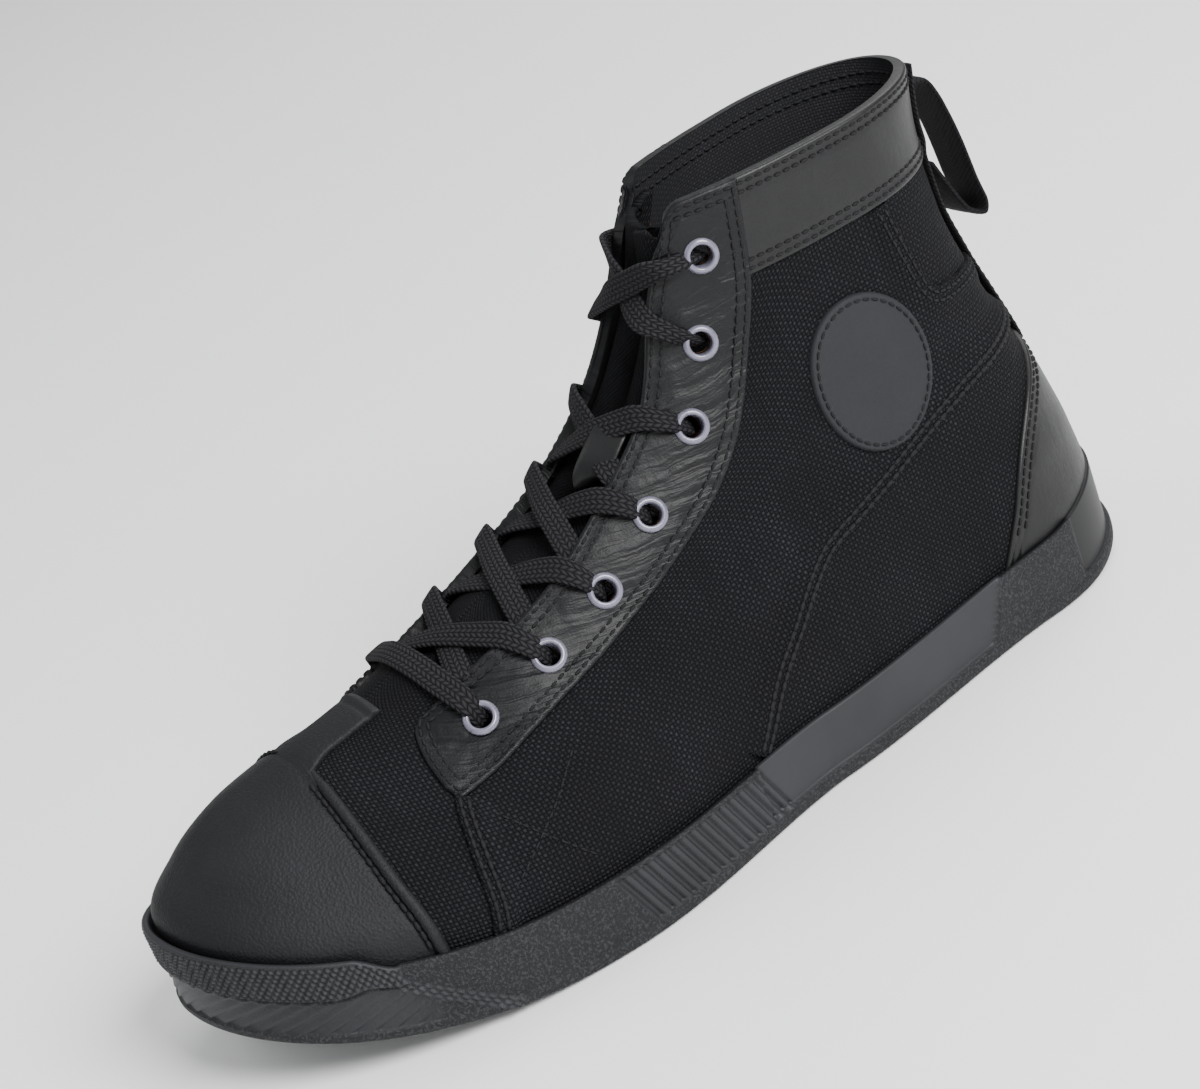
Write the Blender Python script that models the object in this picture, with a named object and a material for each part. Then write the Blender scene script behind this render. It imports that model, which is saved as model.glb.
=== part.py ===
# Left motorcycle boot: cupsole, lasted upper, overlays, tongue, eyelets and lace.
# Metres, +Z up. The toe points along -Y, the outer (lateral) side is +X, and the
# origin lies on the floor under the middle of the heel.
import math

import bmesh
import bpy
import numpy as np
from mathutils import Matrix, Vector

MM = 0.001

# Driving sizes
LENGTH = 302 * MM
BALL_WIDTH = 107 * MM
HEEL_WIDTH = 77 * MM
INSTEP = 70 * MM
SHAFT_HEIGHT = 155 * MM
HEEL_SHARE = 0.15
TOE_SPRING = 20.4 * MM
SPRING_START = 0.69
TOE_SWING = 0.075

# Leather, cloth and rubber
UPPER_WALL = 2.0 * MM
OVERLAY = 1.3 * MM
CLEARANCE = 0.3 * MM
SIDEWALL = 3.2 * MM
SOLE_BED = 12 * MM
INSOLE_THICKNESS = 3 * MM
TONGUE_THICKNESS = 3 * MM
TONGUE_SINK = 1.0 * MM
TONGUE_LAP = 7 * MM
TONGUE_RISE = 4 * MM
PIPING_WIDTH = 3.0 * MM
PIPING_HEIGHT = 2.4 * MM
PATCH_RADIUS = 21.6 * MM
PATCH_THICKNESS = 1.6 * MM

# Sole side
HEEL_BEVEL = 6 * MM
BEVEL_SHARE = 0.11
EDGE_TUCK = 1.2 * MM
LIP_HEIGHT = 3.2 * MM
LIP_OUT = 0.4 * MM
PANEL_DEPTH = 1.0 * MM
BUMPER_OUT = 0.9 * MM
RIBS = 14
RIB_SLANT = 7 * MM
TREAD_DEPTH = 1.6 * MM
TREAD_WIDTH = 3.2 * MM
TREAD_RIM = 0.19

# Hardware
EYELET_BORE = 2.8 * MM
EYELET_BARREL = 3.3 * MM
EYELET_FLANGE = 5.0 * MM
EYELET_RIM = 0.9 * MM
LACE_WIDTH = 6.5 * MM
LACE_THICKNESS = 1.5 * MM
LACE_DIP = 0.8 * MM
WEBBING_WIDTH = 15 * MM
WEBBING_THICKNESS = 1.5 * MM

# Levels run from 0 at the floor to 1 at the instep and on to 2 at the collar.
# Fore-and-aft places are shares of the length, measured forward from the heel.
# heel is a share of HEEL_WIDTH, waist and ball of BALL_WIDTH, rounds of LENGTH.
SLICE_COLUMNS = "level back front heel waist ball even round_back round_front".split()
SLICES = np.array([
    (0.17, 0.015, 0.988, 0.448, 0.393, 0.519, 0.00, 0.139, 0.250),
    (0.36, 0.012, 0.987, 0.458, 0.397, 0.523, 0.00, 0.139, 0.250),
    (0.57, 0.016, 0.955, 0.458, 0.374, 0.486, 0.10, 0.152, 0.310),
    (0.74, 0.023, 0.911, 0.445, 0.355, 0.435, 0.25, 0.158, 0.430),
    (0.89, 0.031, 0.834, 0.432, 0.332, 0.374, 0.40, 0.158, 0.530),
    (1.00, 0.038, 0.748, 0.420, 0.313, 0.355, 0.50, 0.155, 0.545),
    (1.12, 0.048, 0.656, 0.410, 0.308, 0.355, 0.65, 0.150, 0.490),
    (1.29, 0.062, 0.538, 0.392, 0.285, 0.340, 0.85, 0.142, 0.330),
    (1.53, 0.075, 0.455, 0.368, 0.234, 0.300, 1.00, 0.127, 0.215),
    (1.76, 0.076, 0.414, 0.345, 0.215, 0.280, 1.00, 0.127, 0.182),
    (2.00, 0.065, 0.399, 0.338, 0.196, 0.260, 1.00, 0.130, 0.166),
])

# Where the four width stations lie, and how narrow the inner side is at each.
STATION_COLUMNS = "place medial".split()
STATIONS = np.array([
    (0.15, 0.93),
    (0.42, 0.77),
    (0.68, 0.78),
    (0.85, 0.75),
])
TOE_FULLNESS = 0.965
ROUND_POWER = 2.1

# Height of the sole's side above the flat, as shares of the instep height.
FOXING_COLUMNS = "place height".split()
FOXING = np.array([
    (0.00, 0.40),
    (0.05, 0.37),
    (0.13, 0.315),
    (0.30, 0.29),
    (0.50, 0.29),
    (0.70, 0.305),
    (0.865, 0.305),
    (0.895, 0.36),
    (1.00, 0.36),
])

# Seams of the lateral side, each a row of place and level.
THROAT = np.array([
    (0.692, 1.00), (0.632, 1.07), (0.566, 1.165), (0.490, 1.32),
    (0.437, 1.48), (0.387, 1.80), (0.361, 2.00),
])
THROAT_RISE = 0.06
STAY_EDGE = np.array([
    (0.293, 2.00), (0.311, 1.71), (0.338, 1.506), (0.377, 1.306), (0.421, 1.165),
    (0.470, 1.07), (0.526, 0.98), (0.593, 0.893), (0.660, 0.82), (0.750, 0.73),
])
STAY_FRONT = np.array([
    (0.745, 0.83), (0.739, 0.92), (0.728, 0.945), (0.709, 0.975), (0.6915, 0.997),
])
COUNTER_EDGE = np.array([
    (0.033, 0.98), (0.060, 0.91), (0.094, 0.82), (0.136, 0.64), (0.160, 0.46), (0.186, 0.28),
])
CAP_EDGE = np.array([
    (0.815, 0.90), (0.819, 0.79), (0.822, 0.60), (0.824, 0.45), (0.829, 0.28),
])
EYELETS = np.array([
    (0.344, 1.82), (0.374, 1.576), (0.414, 1.365), (0.483, 1.194),
    (0.550, 1.065), (0.619, 0.971), (0.695, 0.893),
])
CUFF_LEVEL = 1.70
PATCH_PLACE = (0.242, 1.247)
TAB_BACK = 0.75
TAB_HALF = 7.5 * MM
TAB_SHIFT = 1.5 * MM

# The mesh of the last: rings from the feather edge to the collar.
RINGS = (0.18, 0.36, 0.54, 0.70, 0.85, 1.00, 1.10, 1.24, 1.42, 1.62, 1.82, 2.00)
THROAT_RING = 5
SIDE_COLUMNS = 18
FRONT_COLUMNS = 4

COLOURS = {
    "rubber": ((0.030, 0.031, 0.034, 1), 0.62, 0.0),
    "canvas": ((0.012, 0.011, 0.013, 1), 0.90, 0.0),
    "leather": ((0.020, 0.020, 0.022, 1), 0.42, 0.0),
    "cap": ((0.030, 0.030, 0.034, 1), 0.60, 0.0),
    "badge": ((0.042, 0.043, 0.050, 1), 0.70, 0.0),
    "webbing": ((0.014, 0.014, 0.016, 1), 0.85, 0.0),
    "enamel": ((0.230, 0.220, 0.290, 1), 0.35, 0.2),
    "sock": ((0.020, 0.020, 0.022, 1), 0.95, 0.0),
}


def smooth_curve(xs, ys, x):
    """Cubic through a table, without overshoot, held level past its ends."""
    xs = np.asarray(xs, float)
    ys = np.asarray(ys, float)
    order = np.argsort(xs)
    xs, ys = xs[order], ys[order]
    step = np.diff(xs)
    slope = np.diff(ys) / step
    before, after = slope[:-1], slope[1:]
    same_way = before * after > 0
    total = np.where(same_way, before + after, 1)
    tangent = np.concatenate([slope[:1], np.where(same_way, 2 * before * after / total, 0), slope[-1:]])
    x = np.clip(x, xs[0], xs[-1])
    i = np.clip(np.searchsorted(xs, x, side="right") - 1, 0, len(step) - 1)
    t = (x - xs[i]) / step[i]
    value = (1 + 2 * t) * (1 - t) ** 2 * ys[i] + t * t * (3 - 2 * t) * ys[i + 1]
    return value + step[i] * (t * (1 - t) ** 2 * tangent[i] + t * t * (t - 1) * tangent[i + 1])


def height(level):
    """Height above the flat of a level."""
    level = np.asarray(level, float)
    return np.minimum(level, 1) * INSTEP + np.maximum(level - 1, 0) * (SHAFT_HEIGHT - INSTEP)


def slice_value(name, level):
    return smooth_curve(SLICES[:, 0], SLICES[:, SLICE_COLUMNS.index(name)], level)


def spring(place):
    """Lift of the toe."""
    t = np.clip((place - SPRING_START) / (1 - SPRING_START), 0, None)
    return TOE_SPRING * t * t


def centre_line(place):
    """The last swings inward towards the toe."""
    t = np.clip((place - 0.45) / 0.45, 0, 1)
    return -TOE_SWING * BALL_WIDTH * t * t * (3 - 2 * t)


def rounding(distance, reach):
    """Rises from 0 at an end of a slice to 1 where the end's roundness stops."""
    t = 1 - np.clip(distance / reach, 0, 1)
    return (1 - t ** ROUND_POWER) ** (1 / ROUND_POWER)


def half_width(place, level, side):
    """Width from the centre line to one side, before the ends are rounded."""
    even = slice_value("even", level)
    widths = [
        slice_value("heel", level) * HEEL_WIDTH,
        slice_value("waist", level) * BALL_WIDTH,
        slice_value("ball", level) * BALL_WIDTH,
        slice_value("ball", level) * BALL_WIDTH * TOE_FULLNESS,
    ]
    if side < 0:
        widths = [w * (m + (1 - m) * even) for w, m in zip(widths, STATIONS[:, 1])]
    at = STATIONS[:, 0]
    result = widths[0] + 0 * place
    for i in range(3):
        t = np.clip((place - at[i]) / (at[i + 1] - at[i]), 0, 1)
        result = result + (widths[i + 1] - widths[i]) * t * t * (3 - 2 * t)
    return result


def slice_ends(level):
    return slice_value("back", level), slice_value("front", level)


def skin(angle, level):
    """Point of the last: angle 0 at the back, half a turn at the front, + lateral."""
    angle, level = np.broadcast_arrays(np.asarray(angle, float), np.asarray(level, float))
    held = np.minimum(level, 2)
    back, front = slice_ends(held)
    place = back + (front - back) * (1 - np.cos(angle)) / 2
    ends = rounding(place - back, slice_value("round_back", held))
    ends = ends * rounding(front - place, slice_value("round_front", held))
    lateral = np.sin(angle) >= 0
    width = np.where(lateral, half_width(place, held, 1), -half_width(place, held, -1))
    x = centre_line(place) + width * ends
    y = (HEEL_SHARE - place) * LENGTH
    return np.stack([x, y, height(level) + spring(place)], -1)


def skin_normal(angle, level):
    """Outward normal of the last."""
    step = 0.004
    along = skin(angle + step, level) - skin(angle - step, level)
    up = skin(angle, np.minimum(level + step, 2)) - skin(angle, np.minimum(level, 2) - step)
    normal = np.cross(up, along)
    return normal / np.linalg.norm(normal, axis=-1, keepdims=True)


def offset_skin(angle, level, out):
    return skin(angle, level) + skin_normal(angle, level) * np.asarray(out)[..., None]


def angle_at(place, level):
    """Angle of a place on its slice."""
    back, front = slice_ends(np.minimum(level, 2))
    return np.arccos(np.clip(1 - 2 * (place - back) / (front - back), -1, 1))


def throat_angle(level):
    """Angle of the throat's edge, held below its foot."""
    level = np.maximum(level, THROAT[0, 1])
    return angle_at(smooth_curve(THROAT[:, 1], THROAT[:, 0], level), level)


def column_angle(index, level):
    """Angle of a column of the mesh, 0 at the back seam."""
    edge = throat_angle(level)
    size = abs(index)
    if size <= SIDE_COLUMNS:
        angle = edge * size / SIDE_COLUMNS
    else:
        angle = edge + (math.pi - edge) * (size - SIDE_COLUMNS) / FRONT_COLUMNS
    return math.copysign(1, index) * angle


def column_level(index, level):
    """Level of a mesh row in a column: the rows rise over the ridge in front of the throat."""
    t = max(0, abs(index) - SIDE_COLUMNS) / FRONT_COLUMNS
    share = min(1, max(0, level - 0.5) / 0.5)
    return level + THROAT_RISE * (1 - (1 - t) ** 2) * share * share


def foxing(place):
    """Height of the sole's side above the flat."""
    return smooth_curve(FOXING[:, 0], FOXING[:, 1], place) * INSTEP


def collection(name):
    found = bpy.data.collections.new(name)
    bpy.context.scene.collection.children.link(found)
    return found


def material(name):
    if name in bpy.data.materials:
        return bpy.data.materials[name]
    colour, roughness, metallic = COLOURS[name]
    made = bpy.data.materials.new(name)
    made.use_nodes = True
    shader = made.node_tree.nodes["Principled BSDF"]
    shader.inputs["Base Color"].default_value = colour
    shader.inputs["Roughness"].default_value = roughness
    shader.inputs["Metallic"].default_value = metallic
    made.diffuse_color = colour
    return made


def add_object(name, mesh, finish, group):
    made = bpy.data.objects.new(name, mesh)
    group.objects.link(made)
    if finish:
        if not mesh.materials:
            mesh.materials.append(material(finish))
    else:
        made.hide_render = True
        made.display_type = "WIRE"
    return made


def mesh_from(name, points, faces):
    """Mesh of listed corners, its faces turned outward."""
    mesh = bpy.data.meshes.new(name)
    mesh.from_pydata([tuple(p) for p in points], [], faces)
    bm = bmesh.new()
    bm.from_mesh(mesh)
    bmesh.ops.recalc_face_normals(bm, faces=bm.faces)
    bm.to_mesh(mesh)
    bm.free()
    return mesh


def split_cells(nodes, cells):
    """Triangles of four-sided cells, split along the diagonal nearer to the true skin."""
    angle, level = nodes[:, 0], nodes[:, 1]
    points = skin(angle, level)
    triangles = []
    for a, b, c, d in cells:
        turn = [angle[i] for i in (a, b, c, d)]
        if max(turn) - min(turn) > math.pi:
            turn = [v + 2 * math.pi if v < 0 else v for v in turn]
        middle = skin(sum(turn) / 4, (level[a] + level[b] + level[c] + level[d]) / 4)
        first = np.linalg.norm((points[a] + points[c]) / 2 - middle)
        second = np.linalg.norm((points[b] + points[d]) / 2 - middle)
        if first <= second:
            triangles += [[a, b, c], [a, c, d]]
        else:
            triangles += [[a, b, d], [b, c, d]]
    return triangles


def last_grid():
    """Nodes and triangles of the last's skin, open at the throat."""
    side_total = SIDE_COLUMNS + FRONT_COLUMNS
    nodes, index, cells = [], {}, []
    for row, level in enumerate(RINGS):
        reach = side_total if row <= THROAT_RING else SIDE_COLUMNS
        for column in range(-reach, reach + 1):
            if column == -side_total:
                continue
            index[row, column] = len(nodes)
            raised = column_level(column, level)
            nodes.append((column_angle(column, level), raised))
        if row <= THROAT_RING:
            index[row, -side_total] = index[row, side_total]
    for row in range(len(RINGS) - 1):
        reach = side_total if row < THROAT_RING else SIDE_COLUMNS
        for column in range(-reach, reach):
            corners = ((row, column), (row, column + 1), (row + 1, column + 1), (row + 1, column))
            cells.append([index[c] for c in corners])
    nodes = np.array(nodes)
    return nodes, split_cells(nodes, cells)


def thick_sheet(name, nodes, cells, inner, outer):
    """Closed solid between two offsets of the skin."""
    angle, level = nodes[:, 0], nodes[:, 1]
    points = np.concatenate([
        offset_skin(angle, level, np.broadcast_to(outer, angle.shape)),
        offset_skin(angle, level, np.broadcast_to(inner, angle.shape)),
    ])
    count = len(nodes)
    faces = [list(cell) for cell in cells]
    faces += [[count + c for c in reversed(cell)] for cell in cells]
    edges = {}
    for cell in cells:
        for a, b in zip(cell, cell[1:] + cell[:1]):
            if (b, a) in edges:
                del edges[b, a]
            else:
                edges[a, b] = True
    faces += [[b, a, count + a, count + b] for a, b in edges]
    return mesh_from(name, points, faces)


def grid_cells(rows, columns):
    return [
        [r * columns + c, r * columns + c + 1, (r + 1) * columns + c + 1, (r + 1) * columns + c]
        for r in range(rows - 1) for c in range(columns - 1)
    ]


def side_point(place, level):
    """A seam's row as a point of the side view: Y and Z."""
    return ((HEEL_SHARE - place) * LENGTH, float(height(level) + spring(place)))


def prism(name, outline, low, high, group):
    """Cutter: a side-view outline, run from low to high along X."""
    count = len(outline)
    points = [(low, y, z) for y, z in outline] + [(high, y, z) for y, z in outline]
    faces = [list(range(count)), list(range(2 * count - 1, count - 1, -1))]
    faces += [[i, (i + 1) % count, count + (i + 1) % count, count + i] for i in range(count)]
    return add_object(name, mesh_from(name, points, faces), None, group)


def cut(piece, cutter, operation):
    step = piece.modifiers.new(operation.lower(), "BOOLEAN")
    step.operation = operation
    step.object = cutter
    step.solver = "EXACT"


def seam_points(table, first, last, count):
    """Smooth row of side-view points along a seam's table."""
    travel = np.linspace(0, len(table) - 1, len(table))
    t = np.linspace(first, last, count) * (len(table) - 1)
    place = smooth_curve(travel, table[:, 0], t)
    level = smooth_curve(travel, table[:, 1], t)
    return [side_point(p, v) for p, v in zip(place, level)]


def above_sole(points):
    """The points of a seam that lie clear above the sole's edge."""
    kept = []
    for y, z in points:
        place = HEEL_SHARE - y / LENGTH
        if z > float(foxing(place) + spring(place)) + 3 * CLEARANCE:
            kept.append((y, z))
    return kept


def foxing_line(start, end, count):
    """Side-view points just above the sole's edge."""
    return [
        ((HEEL_SHARE - p) * LENGTH, float(foxing(p) + spring(p) + 2.6 * CLEARANCE))
        for p in np.linspace(start, end, count)
    ]


def zip_rings(outer, inner):
    """Triangles between two closed rings, each a list of (key, corner)."""
    faces, i, j = [], 0, 0
    outer_keys = [k for k, _ in outer] + [outer[0][0] + 2 * math.pi]
    inner_keys = [k for k, _ in inner] + [inner[0][0] + 2 * math.pi]
    a, b = [c for _, c in outer], [c for _, c in inner]
    while i < len(a) or j < len(b):
        take_outer = j >= len(b) or (i < len(a) and outer_keys[i + 1] <= inner_keys[j + 1])
        if take_outer:
            faces.append([a[i % len(a)], a[(i + 1) % len(a)], b[j % len(b)]])
            i += 1
        else:
            faces.append([a[i % len(a)], b[(j + 1) % len(b)], b[j % len(b)]])
            j += 1
    return faces


def ladder(ring):
    """Cells across a closed ring: its middle corner is the heel, its last the toe."""
    half = len(ring) // 2 - 1
    cells = []
    for i in range(half + 1):
        right = [ring[half + i], ring[half + i + 1]]
        left = [ring[half - i - 1], ring[half - i]]
        cells.append(right + [c for c in left if c not in right])
    return cells


def ring_angles():
    """Angles of the base columns, once round from the inner toe to the outer toe."""
    total = SIDE_COLUMNS + FRONT_COLUMNS
    return [float(column_angle(c, RINGS[0])) for c in range(-total + 1, total + 1)]


SOLE_LEVEL = 0.26
PANEL = dict(back=0.195, front=0.515, fade=0.006)
RIB_ZONE = (0.515, 0.672)
HEEL_PANEL = 0.075
BUMPER = dict(back=0.865, front=0.885)


def sole_place(angle):
    back, front = slice_ends(SOLE_LEVEL)
    return float(back + (front - back) * (1 - math.cos(angle)) / 2)


def wall_columns():
    """Angles of the sole's side columns: the base ones, panel ends and rib edges."""
    places = []
    for edge in (HEEL_PANEL, PANEL["back"], BUMPER["back"]):
        places += [edge, edge + PANEL["fade"]]
    pitch = (RIB_ZONE[1] - RIB_ZONE[0]) / RIBS
    for rib in range(RIBS):
        start = RIB_ZONE[0] + rib * pitch
        places += [start, start + 0.3 * pitch, start + 0.7 * pitch]
    places += [RIB_ZONE[1], RIB_ZONE[1] + PANEL["fade"] / 2]
    extra = [float(angle_at(p, SOLE_LEVEL)) for p in places]
    keep = [a for a in ring_angles() if not in_ribs(sole_place(a))]
    return sorted(keep + extra + [-a for a in extra])


def in_ribs(place):
    return RIB_ZONE[0] - 0.002 < place < RIB_ZONE[1] + 0.002


def wall_step(place, band):
    """How far the sole's side stands out at a place, for a band of its height."""
    fade = PANEL["fade"]
    in_heel = place <= HEEL_PANEL
    in_panel = PANEL["back"] + fade <= place <= RIB_ZONE[1]
    if band == "lip":
        return LIP_OUT
    if band in ("panel", "upper"):
        if in_heel:
            return -PANEL_DEPTH
        if RIB_ZONE[0] <= place <= RIB_ZONE[1] + 1e-9:
            pitch = (RIB_ZONE[1] - RIB_ZONE[0]) / RIBS
            phase = ((place - RIB_ZONE[0]) / pitch + 1e-6) % 1
            return 0.0 if 0.25 < phase < 0.75 else -PANEL_DEPTH
        if in_panel:
            return -PANEL_DEPTH
        if band == "upper" and place >= BUMPER["back"] + fade:
            return BUMPER_OUT
    return 0.0


def slant(place, share):
    """The ribs lean back towards the ground."""
    near = np.clip(1 - abs(place - np.mean(RIB_ZONE)) / 0.19, 0, 1)
    return -RIB_SLANT / LENGTH * (1 - share) * near * near * (3 - 2 * near) * 1.6 * (near < 0.58) \
        - RIB_SLANT / LENGTH * (1 - share) * (near >= 0.58)


def sole_plan(angle, out):
    """Point of the sole's plan, pushed out square to its edge."""
    point = skin(angle, SOLE_LEVEL)[:2]
    step = 0.01
    run = (skin(angle + step, SOLE_LEVEL) - skin(angle - step, SOLE_LEVEL))[:2]
    normal = np.array([-run[1], run[0]])
    normal = normal / np.linalg.norm(normal)
    return point + normal * out


def ground(place):
    """Underside of the sole: flat, sprung at the toe, bevelled at the heel."""
    bevel = np.clip(1 - place / BEVEL_SHARE, 0, 1)
    return float(spring(place) + HEEL_BEVEL * bevel * bevel)


def build_outsole(group, cutters):
    face_out = SIDEWALL + CLEARANCE
    points, faces, rows = [], [], []
    angles = wall_columns()
    profile = [
        ("edge", 0.0, 0.0), ("lip", 0.0, LIP_HEIGHT), ("panel", 0.0, LIP_HEIGHT + 0.5 * MM),
        ("panel", 0.48, 0.0), ("upper", 0.54, 0.0), ("upper", 1.0, -0.8 * MM), ("upper", 1.0, 0.0),
    ]
    for number, (band, share, extra) in enumerate(profile):
        row = []
        for angle in angles:
            place = sole_place(angle)
            low, high = ground(place), float(foxing(place) + spring(place))
            z = low + (high - low) * share + extra
            out = face_out + wall_step(place, band)
            if band == "edge":
                out = face_out - EDGE_TUCK
            if number == len(profile) - 1:
                out -= 0.8 * MM
            moved = place + float(slant(place, (z - low) / (high - low)))
            turned = math.copysign(float(angle_at(moved, SOLE_LEVEL)), angle)
            if abs(angle) > 0.9 * math.pi or abs(angle) < 0.1:
                turned = angle
            x, y = sole_plan(turned, out)
            row.append((angle, len(points)))
            points.append((x, y, z))
        rows.append(row)
    for low, high in zip(rows, rows[1:]):
        count = len(low)
        for i in range(count):
            j = (i + 1) % count
            faces.append([low[i][1], low[j][1], high[j][1], high[i][1]])
    base = ring_angles()
    top, floor, tread = [], [], []
    for angle in base:
        place = sole_place(angle)
        level_top = float(foxing(place)) / INSTEP
        top.append((angle, len(points)))
        points.append(offset_skin(angle, level_top, CLEARANCE))
        floor.append((angle, len(points)))
        level_floor = SOLE_BED / INSTEP
        points.append(bed_point(angle, level_floor, CLEARANCE))
        tread.append((angle, len(points)))
        x, y = sole_plan(angle, face_out - EDGE_TUCK - 4 * MM)
        points.append((x, y, ground(place)))
    faces += zip_rings(rows[-1], top)
    faces += [
        [top[i][1], top[(i + 1) % len(base)][1], floor[(i + 1) % len(base)][1], floor[i][1]]
        for i in range(len(base))
    ]
    faces += [list(reversed(cell)) for cell in ladder([c for _, c in floor])]
    faces += [list(reversed(face)) for face in zip_rings(rows[0], tread)]
    faces += ladder([c for _, c in tread])
    sole = add_object("outsole", mesh_from("outsole", points, faces), "rubber", group)
    cut(sole, build_tread_cutter(cutters), "DIFFERENCE")
    return sole


TREAD_PLACES = (0.11, 0.19, 0.25, 0.50, 0.56, 0.73, 0.79)
WAIST_RECESS = (0.31, 0.44)


def build_tread_cutter(cutters):
    """Slots across the heel and forefoot, and a shallow hollow under the waist."""
    bm = bmesh.new()
    slots = [(p, TREAD_WIDTH) for p in TREAD_PLACES]
    middle = sum(WAIST_RECESS) / 2
    slots.append((middle, (WAIST_RECESS[1] - WAIST_RECESS[0]) * LENGTH))
    for place, width in slots:
        angle = float(angle_at(place, SOLE_LEVEL))
        left = sole_plan(angle, 0)[0] - TREAD_RIM * BALL_WIDTH * 0.5
        right = sole_plan(-angle, 0)[0] + TREAD_RIM * BALL_WIDTH * 0.5
        y = (HEEL_SHARE - place) * LENGTH
        size = Matrix.Diagonal((left - right, width, 2 * TREAD_DEPTH, 1))
        at = Matrix.Translation(((left + right) / 2, y, ground(place)))
        bmesh.ops.create_cube(bm, size=1, matrix=at @ size)
    mesh = bpy.data.meshes.new("tread_slots")
    bm.to_mesh(mesh)
    bm.free()
    return add_object("tread_slots", mesh, None, cutters)


def bed_point(angle, level, out):
    """Point of the last's plan at a low level, at its own place's spring."""
    point = offset_skin(angle, level, out)
    place = HEEL_SHARE - point[1] / LENGTH
    point[2] = height(level) + spring(place)
    return point


def build_insole(group):
    """Board and sock lying on the bed, inside the upper's wall."""
    inset = -(UPPER_WALL + TONGUE_SINK)
    base = ring_angles()
    low_level = (SOLE_BED + 1.5 * CLEARANCE) / INSTEP
    high_level = (SOLE_BED + 1.5 * CLEARANCE + INSOLE_THICKNESS) / INSTEP
    points = [bed_point(a, low_level, inset) for a in base]
    points += [bed_point(a, high_level, inset) for a in base]
    count = len(base)
    faces = [[i, (i + 1) % count, count + (i + 1) % count, count + i] for i in range(count)]
    faces += ladder(list(range(count)))
    faces += [list(reversed(cell)) for cell in ladder(list(range(count, 2 * count)))]
    return add_object("insole", mesh_from("insole", points, faces), "sock", group)


TONGUE_ROWS = (0.90, 1.00, 1.11, 1.24, 1.36, 1.50, 1.66, 1.82, 2.00)
TONGUE_COLUMNS = 12
KEEPER_ROWS = (3, 4)
KEEPER_COLUMNS = range(4, 9)
KEEPER_THICKNESS = 0.8 * MM


def tongue_node(row, column):
    """Angle and level of a corner of the tongue's mesh."""
    rows = TONGUE_ROWS + (2 + TONGUE_RISE / (SHAFT_HEIGHT - INSTEP),)
    level = rows[row]
    edge = float(throat_angle(min(level, 2)))
    back, front = slice_ends(min(level, 2))
    start = edge - TONGUE_LAP / float((front - back) * LENGTH) * 2 / math.sin(edge)
    return start + (2 * math.pi - 2 * start) * column / TONGUE_COLUMNS, level


def tongue_sheet(name, rows, columns, low, high, finish, group):
    """Part of the tongue's mesh as a solid between two depths under the last's skin."""
    nodes = np.array([tongue_node(row, column) for row in rows for column in columns])
    cells = split_cells(nodes, grid_cells(len(rows), len(columns)))
    return add_object(name, thick_sheet(name, nodes, cells, low, high), finish, group)


def build_tongue(group):
    """Sheet under the throat, lapping under both eyestays and the vamp, and its lace tab."""
    top = -(UPPER_WALL + TONGUE_SINK)
    tongue_sheet("tongue", range(len(TONGUE_ROWS) + 1), range(TONGUE_COLUMNS + 1),
                 top - TONGUE_THICKNESS, top, "canvas", group)
    top += CLEARANCE
    tongue_sheet("lace_keeper", KEEPER_ROWS, KEEPER_COLUMNS,
                 top, top + KEEPER_THICKNESS, "leather", group)


def eyelet_frame(row, side):
    """Seat and outward axis of an eyelet, clear of the eyestay all round."""
    place, level = EYELETS[row]
    angle = side * float(angle_at(place, level))
    centre = skin(angle, level)
    turn, rise = np.meshgrid(np.linspace(-0.12, 0.12, 13), np.linspace(-0.09, 0.09, 13))
    around = skin(angle + turn, level + rise).reshape(-1, 3)
    normals = skin_normal(angle + turn, level + rise).reshape(-1, 3)
    near = np.linalg.norm(around - centre, axis=1) < EYELET_FLANGE * 1.1
    axis = normals[near].mean(axis=0)
    axis = axis / np.linalg.norm(axis)
    lift = max(0.0, float(((around[near] - centre) @ axis).max()))
    return Vector(centre + axis * lift), Vector(axis).to_track_quat("Z", "Y"), lift


def build_eyelet_cutter(cutters):
    """Round punches through the eyestays and the wall behind them."""
    bm = bmesh.new()
    for side in (1, -1):
        for row in range(len(EYELETS)):
            point, turn, lift = eyelet_frame(row, side)
            bmesh.ops.create_cone(
                bm, cap_ends=True, segments=8, radius1=EYELET_BARREL + CLEARANCE * 1.5,
                radius2=EYELET_BARREL + CLEARANCE * 1.5, depth=12 * MM,
                matrix=Matrix.Translation(point) @ turn.to_matrix().to_4x4(),
            )
    mesh = bpy.data.meshes.new("eyelet_punches")
    bm.to_mesh(mesh)
    bm.free()
    return add_object("eyelet_punches", mesh, None, cutters)


def eyelet_mesh():
    """Turned ring: a flange on the eyestay and a barrel down through the wall."""
    top = OVERLAY + 2.8 * CLEARANCE
    low = -UPPER_WALL
    profile = [
        (EYELET_BORE, low), (EYELET_BORE + 0.3 * MM, top + EYELET_RIM),
        (EYELET_FLANGE, top), (EYELET_BARREL, top), (EYELET_BARREL, low),
    ]
    bm = bmesh.new()
    corners = [bm.verts.new((r, 0, z)) for r, z in profile]
    edges = [bm.edges.new((a, b)) for a, b in zip(corners, corners[1:] + corners[:1])]
    bmesh.ops.spin(bm, geom=corners + edges, cent=(0, 0, 0), axis=(0, 0, 1), angle=2 * math.pi,
                   steps=9, use_merge=False, use_duplicate=False)
    bmesh.ops.remove_doubles(bm, verts=bm.verts, dist=0.00001)
    bmesh.ops.recalc_face_normals(bm, faces=bm.faces)
    mesh = bpy.data.meshes.new("eyelet")
    bm.to_mesh(mesh)
    bm.free()
    return mesh


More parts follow.
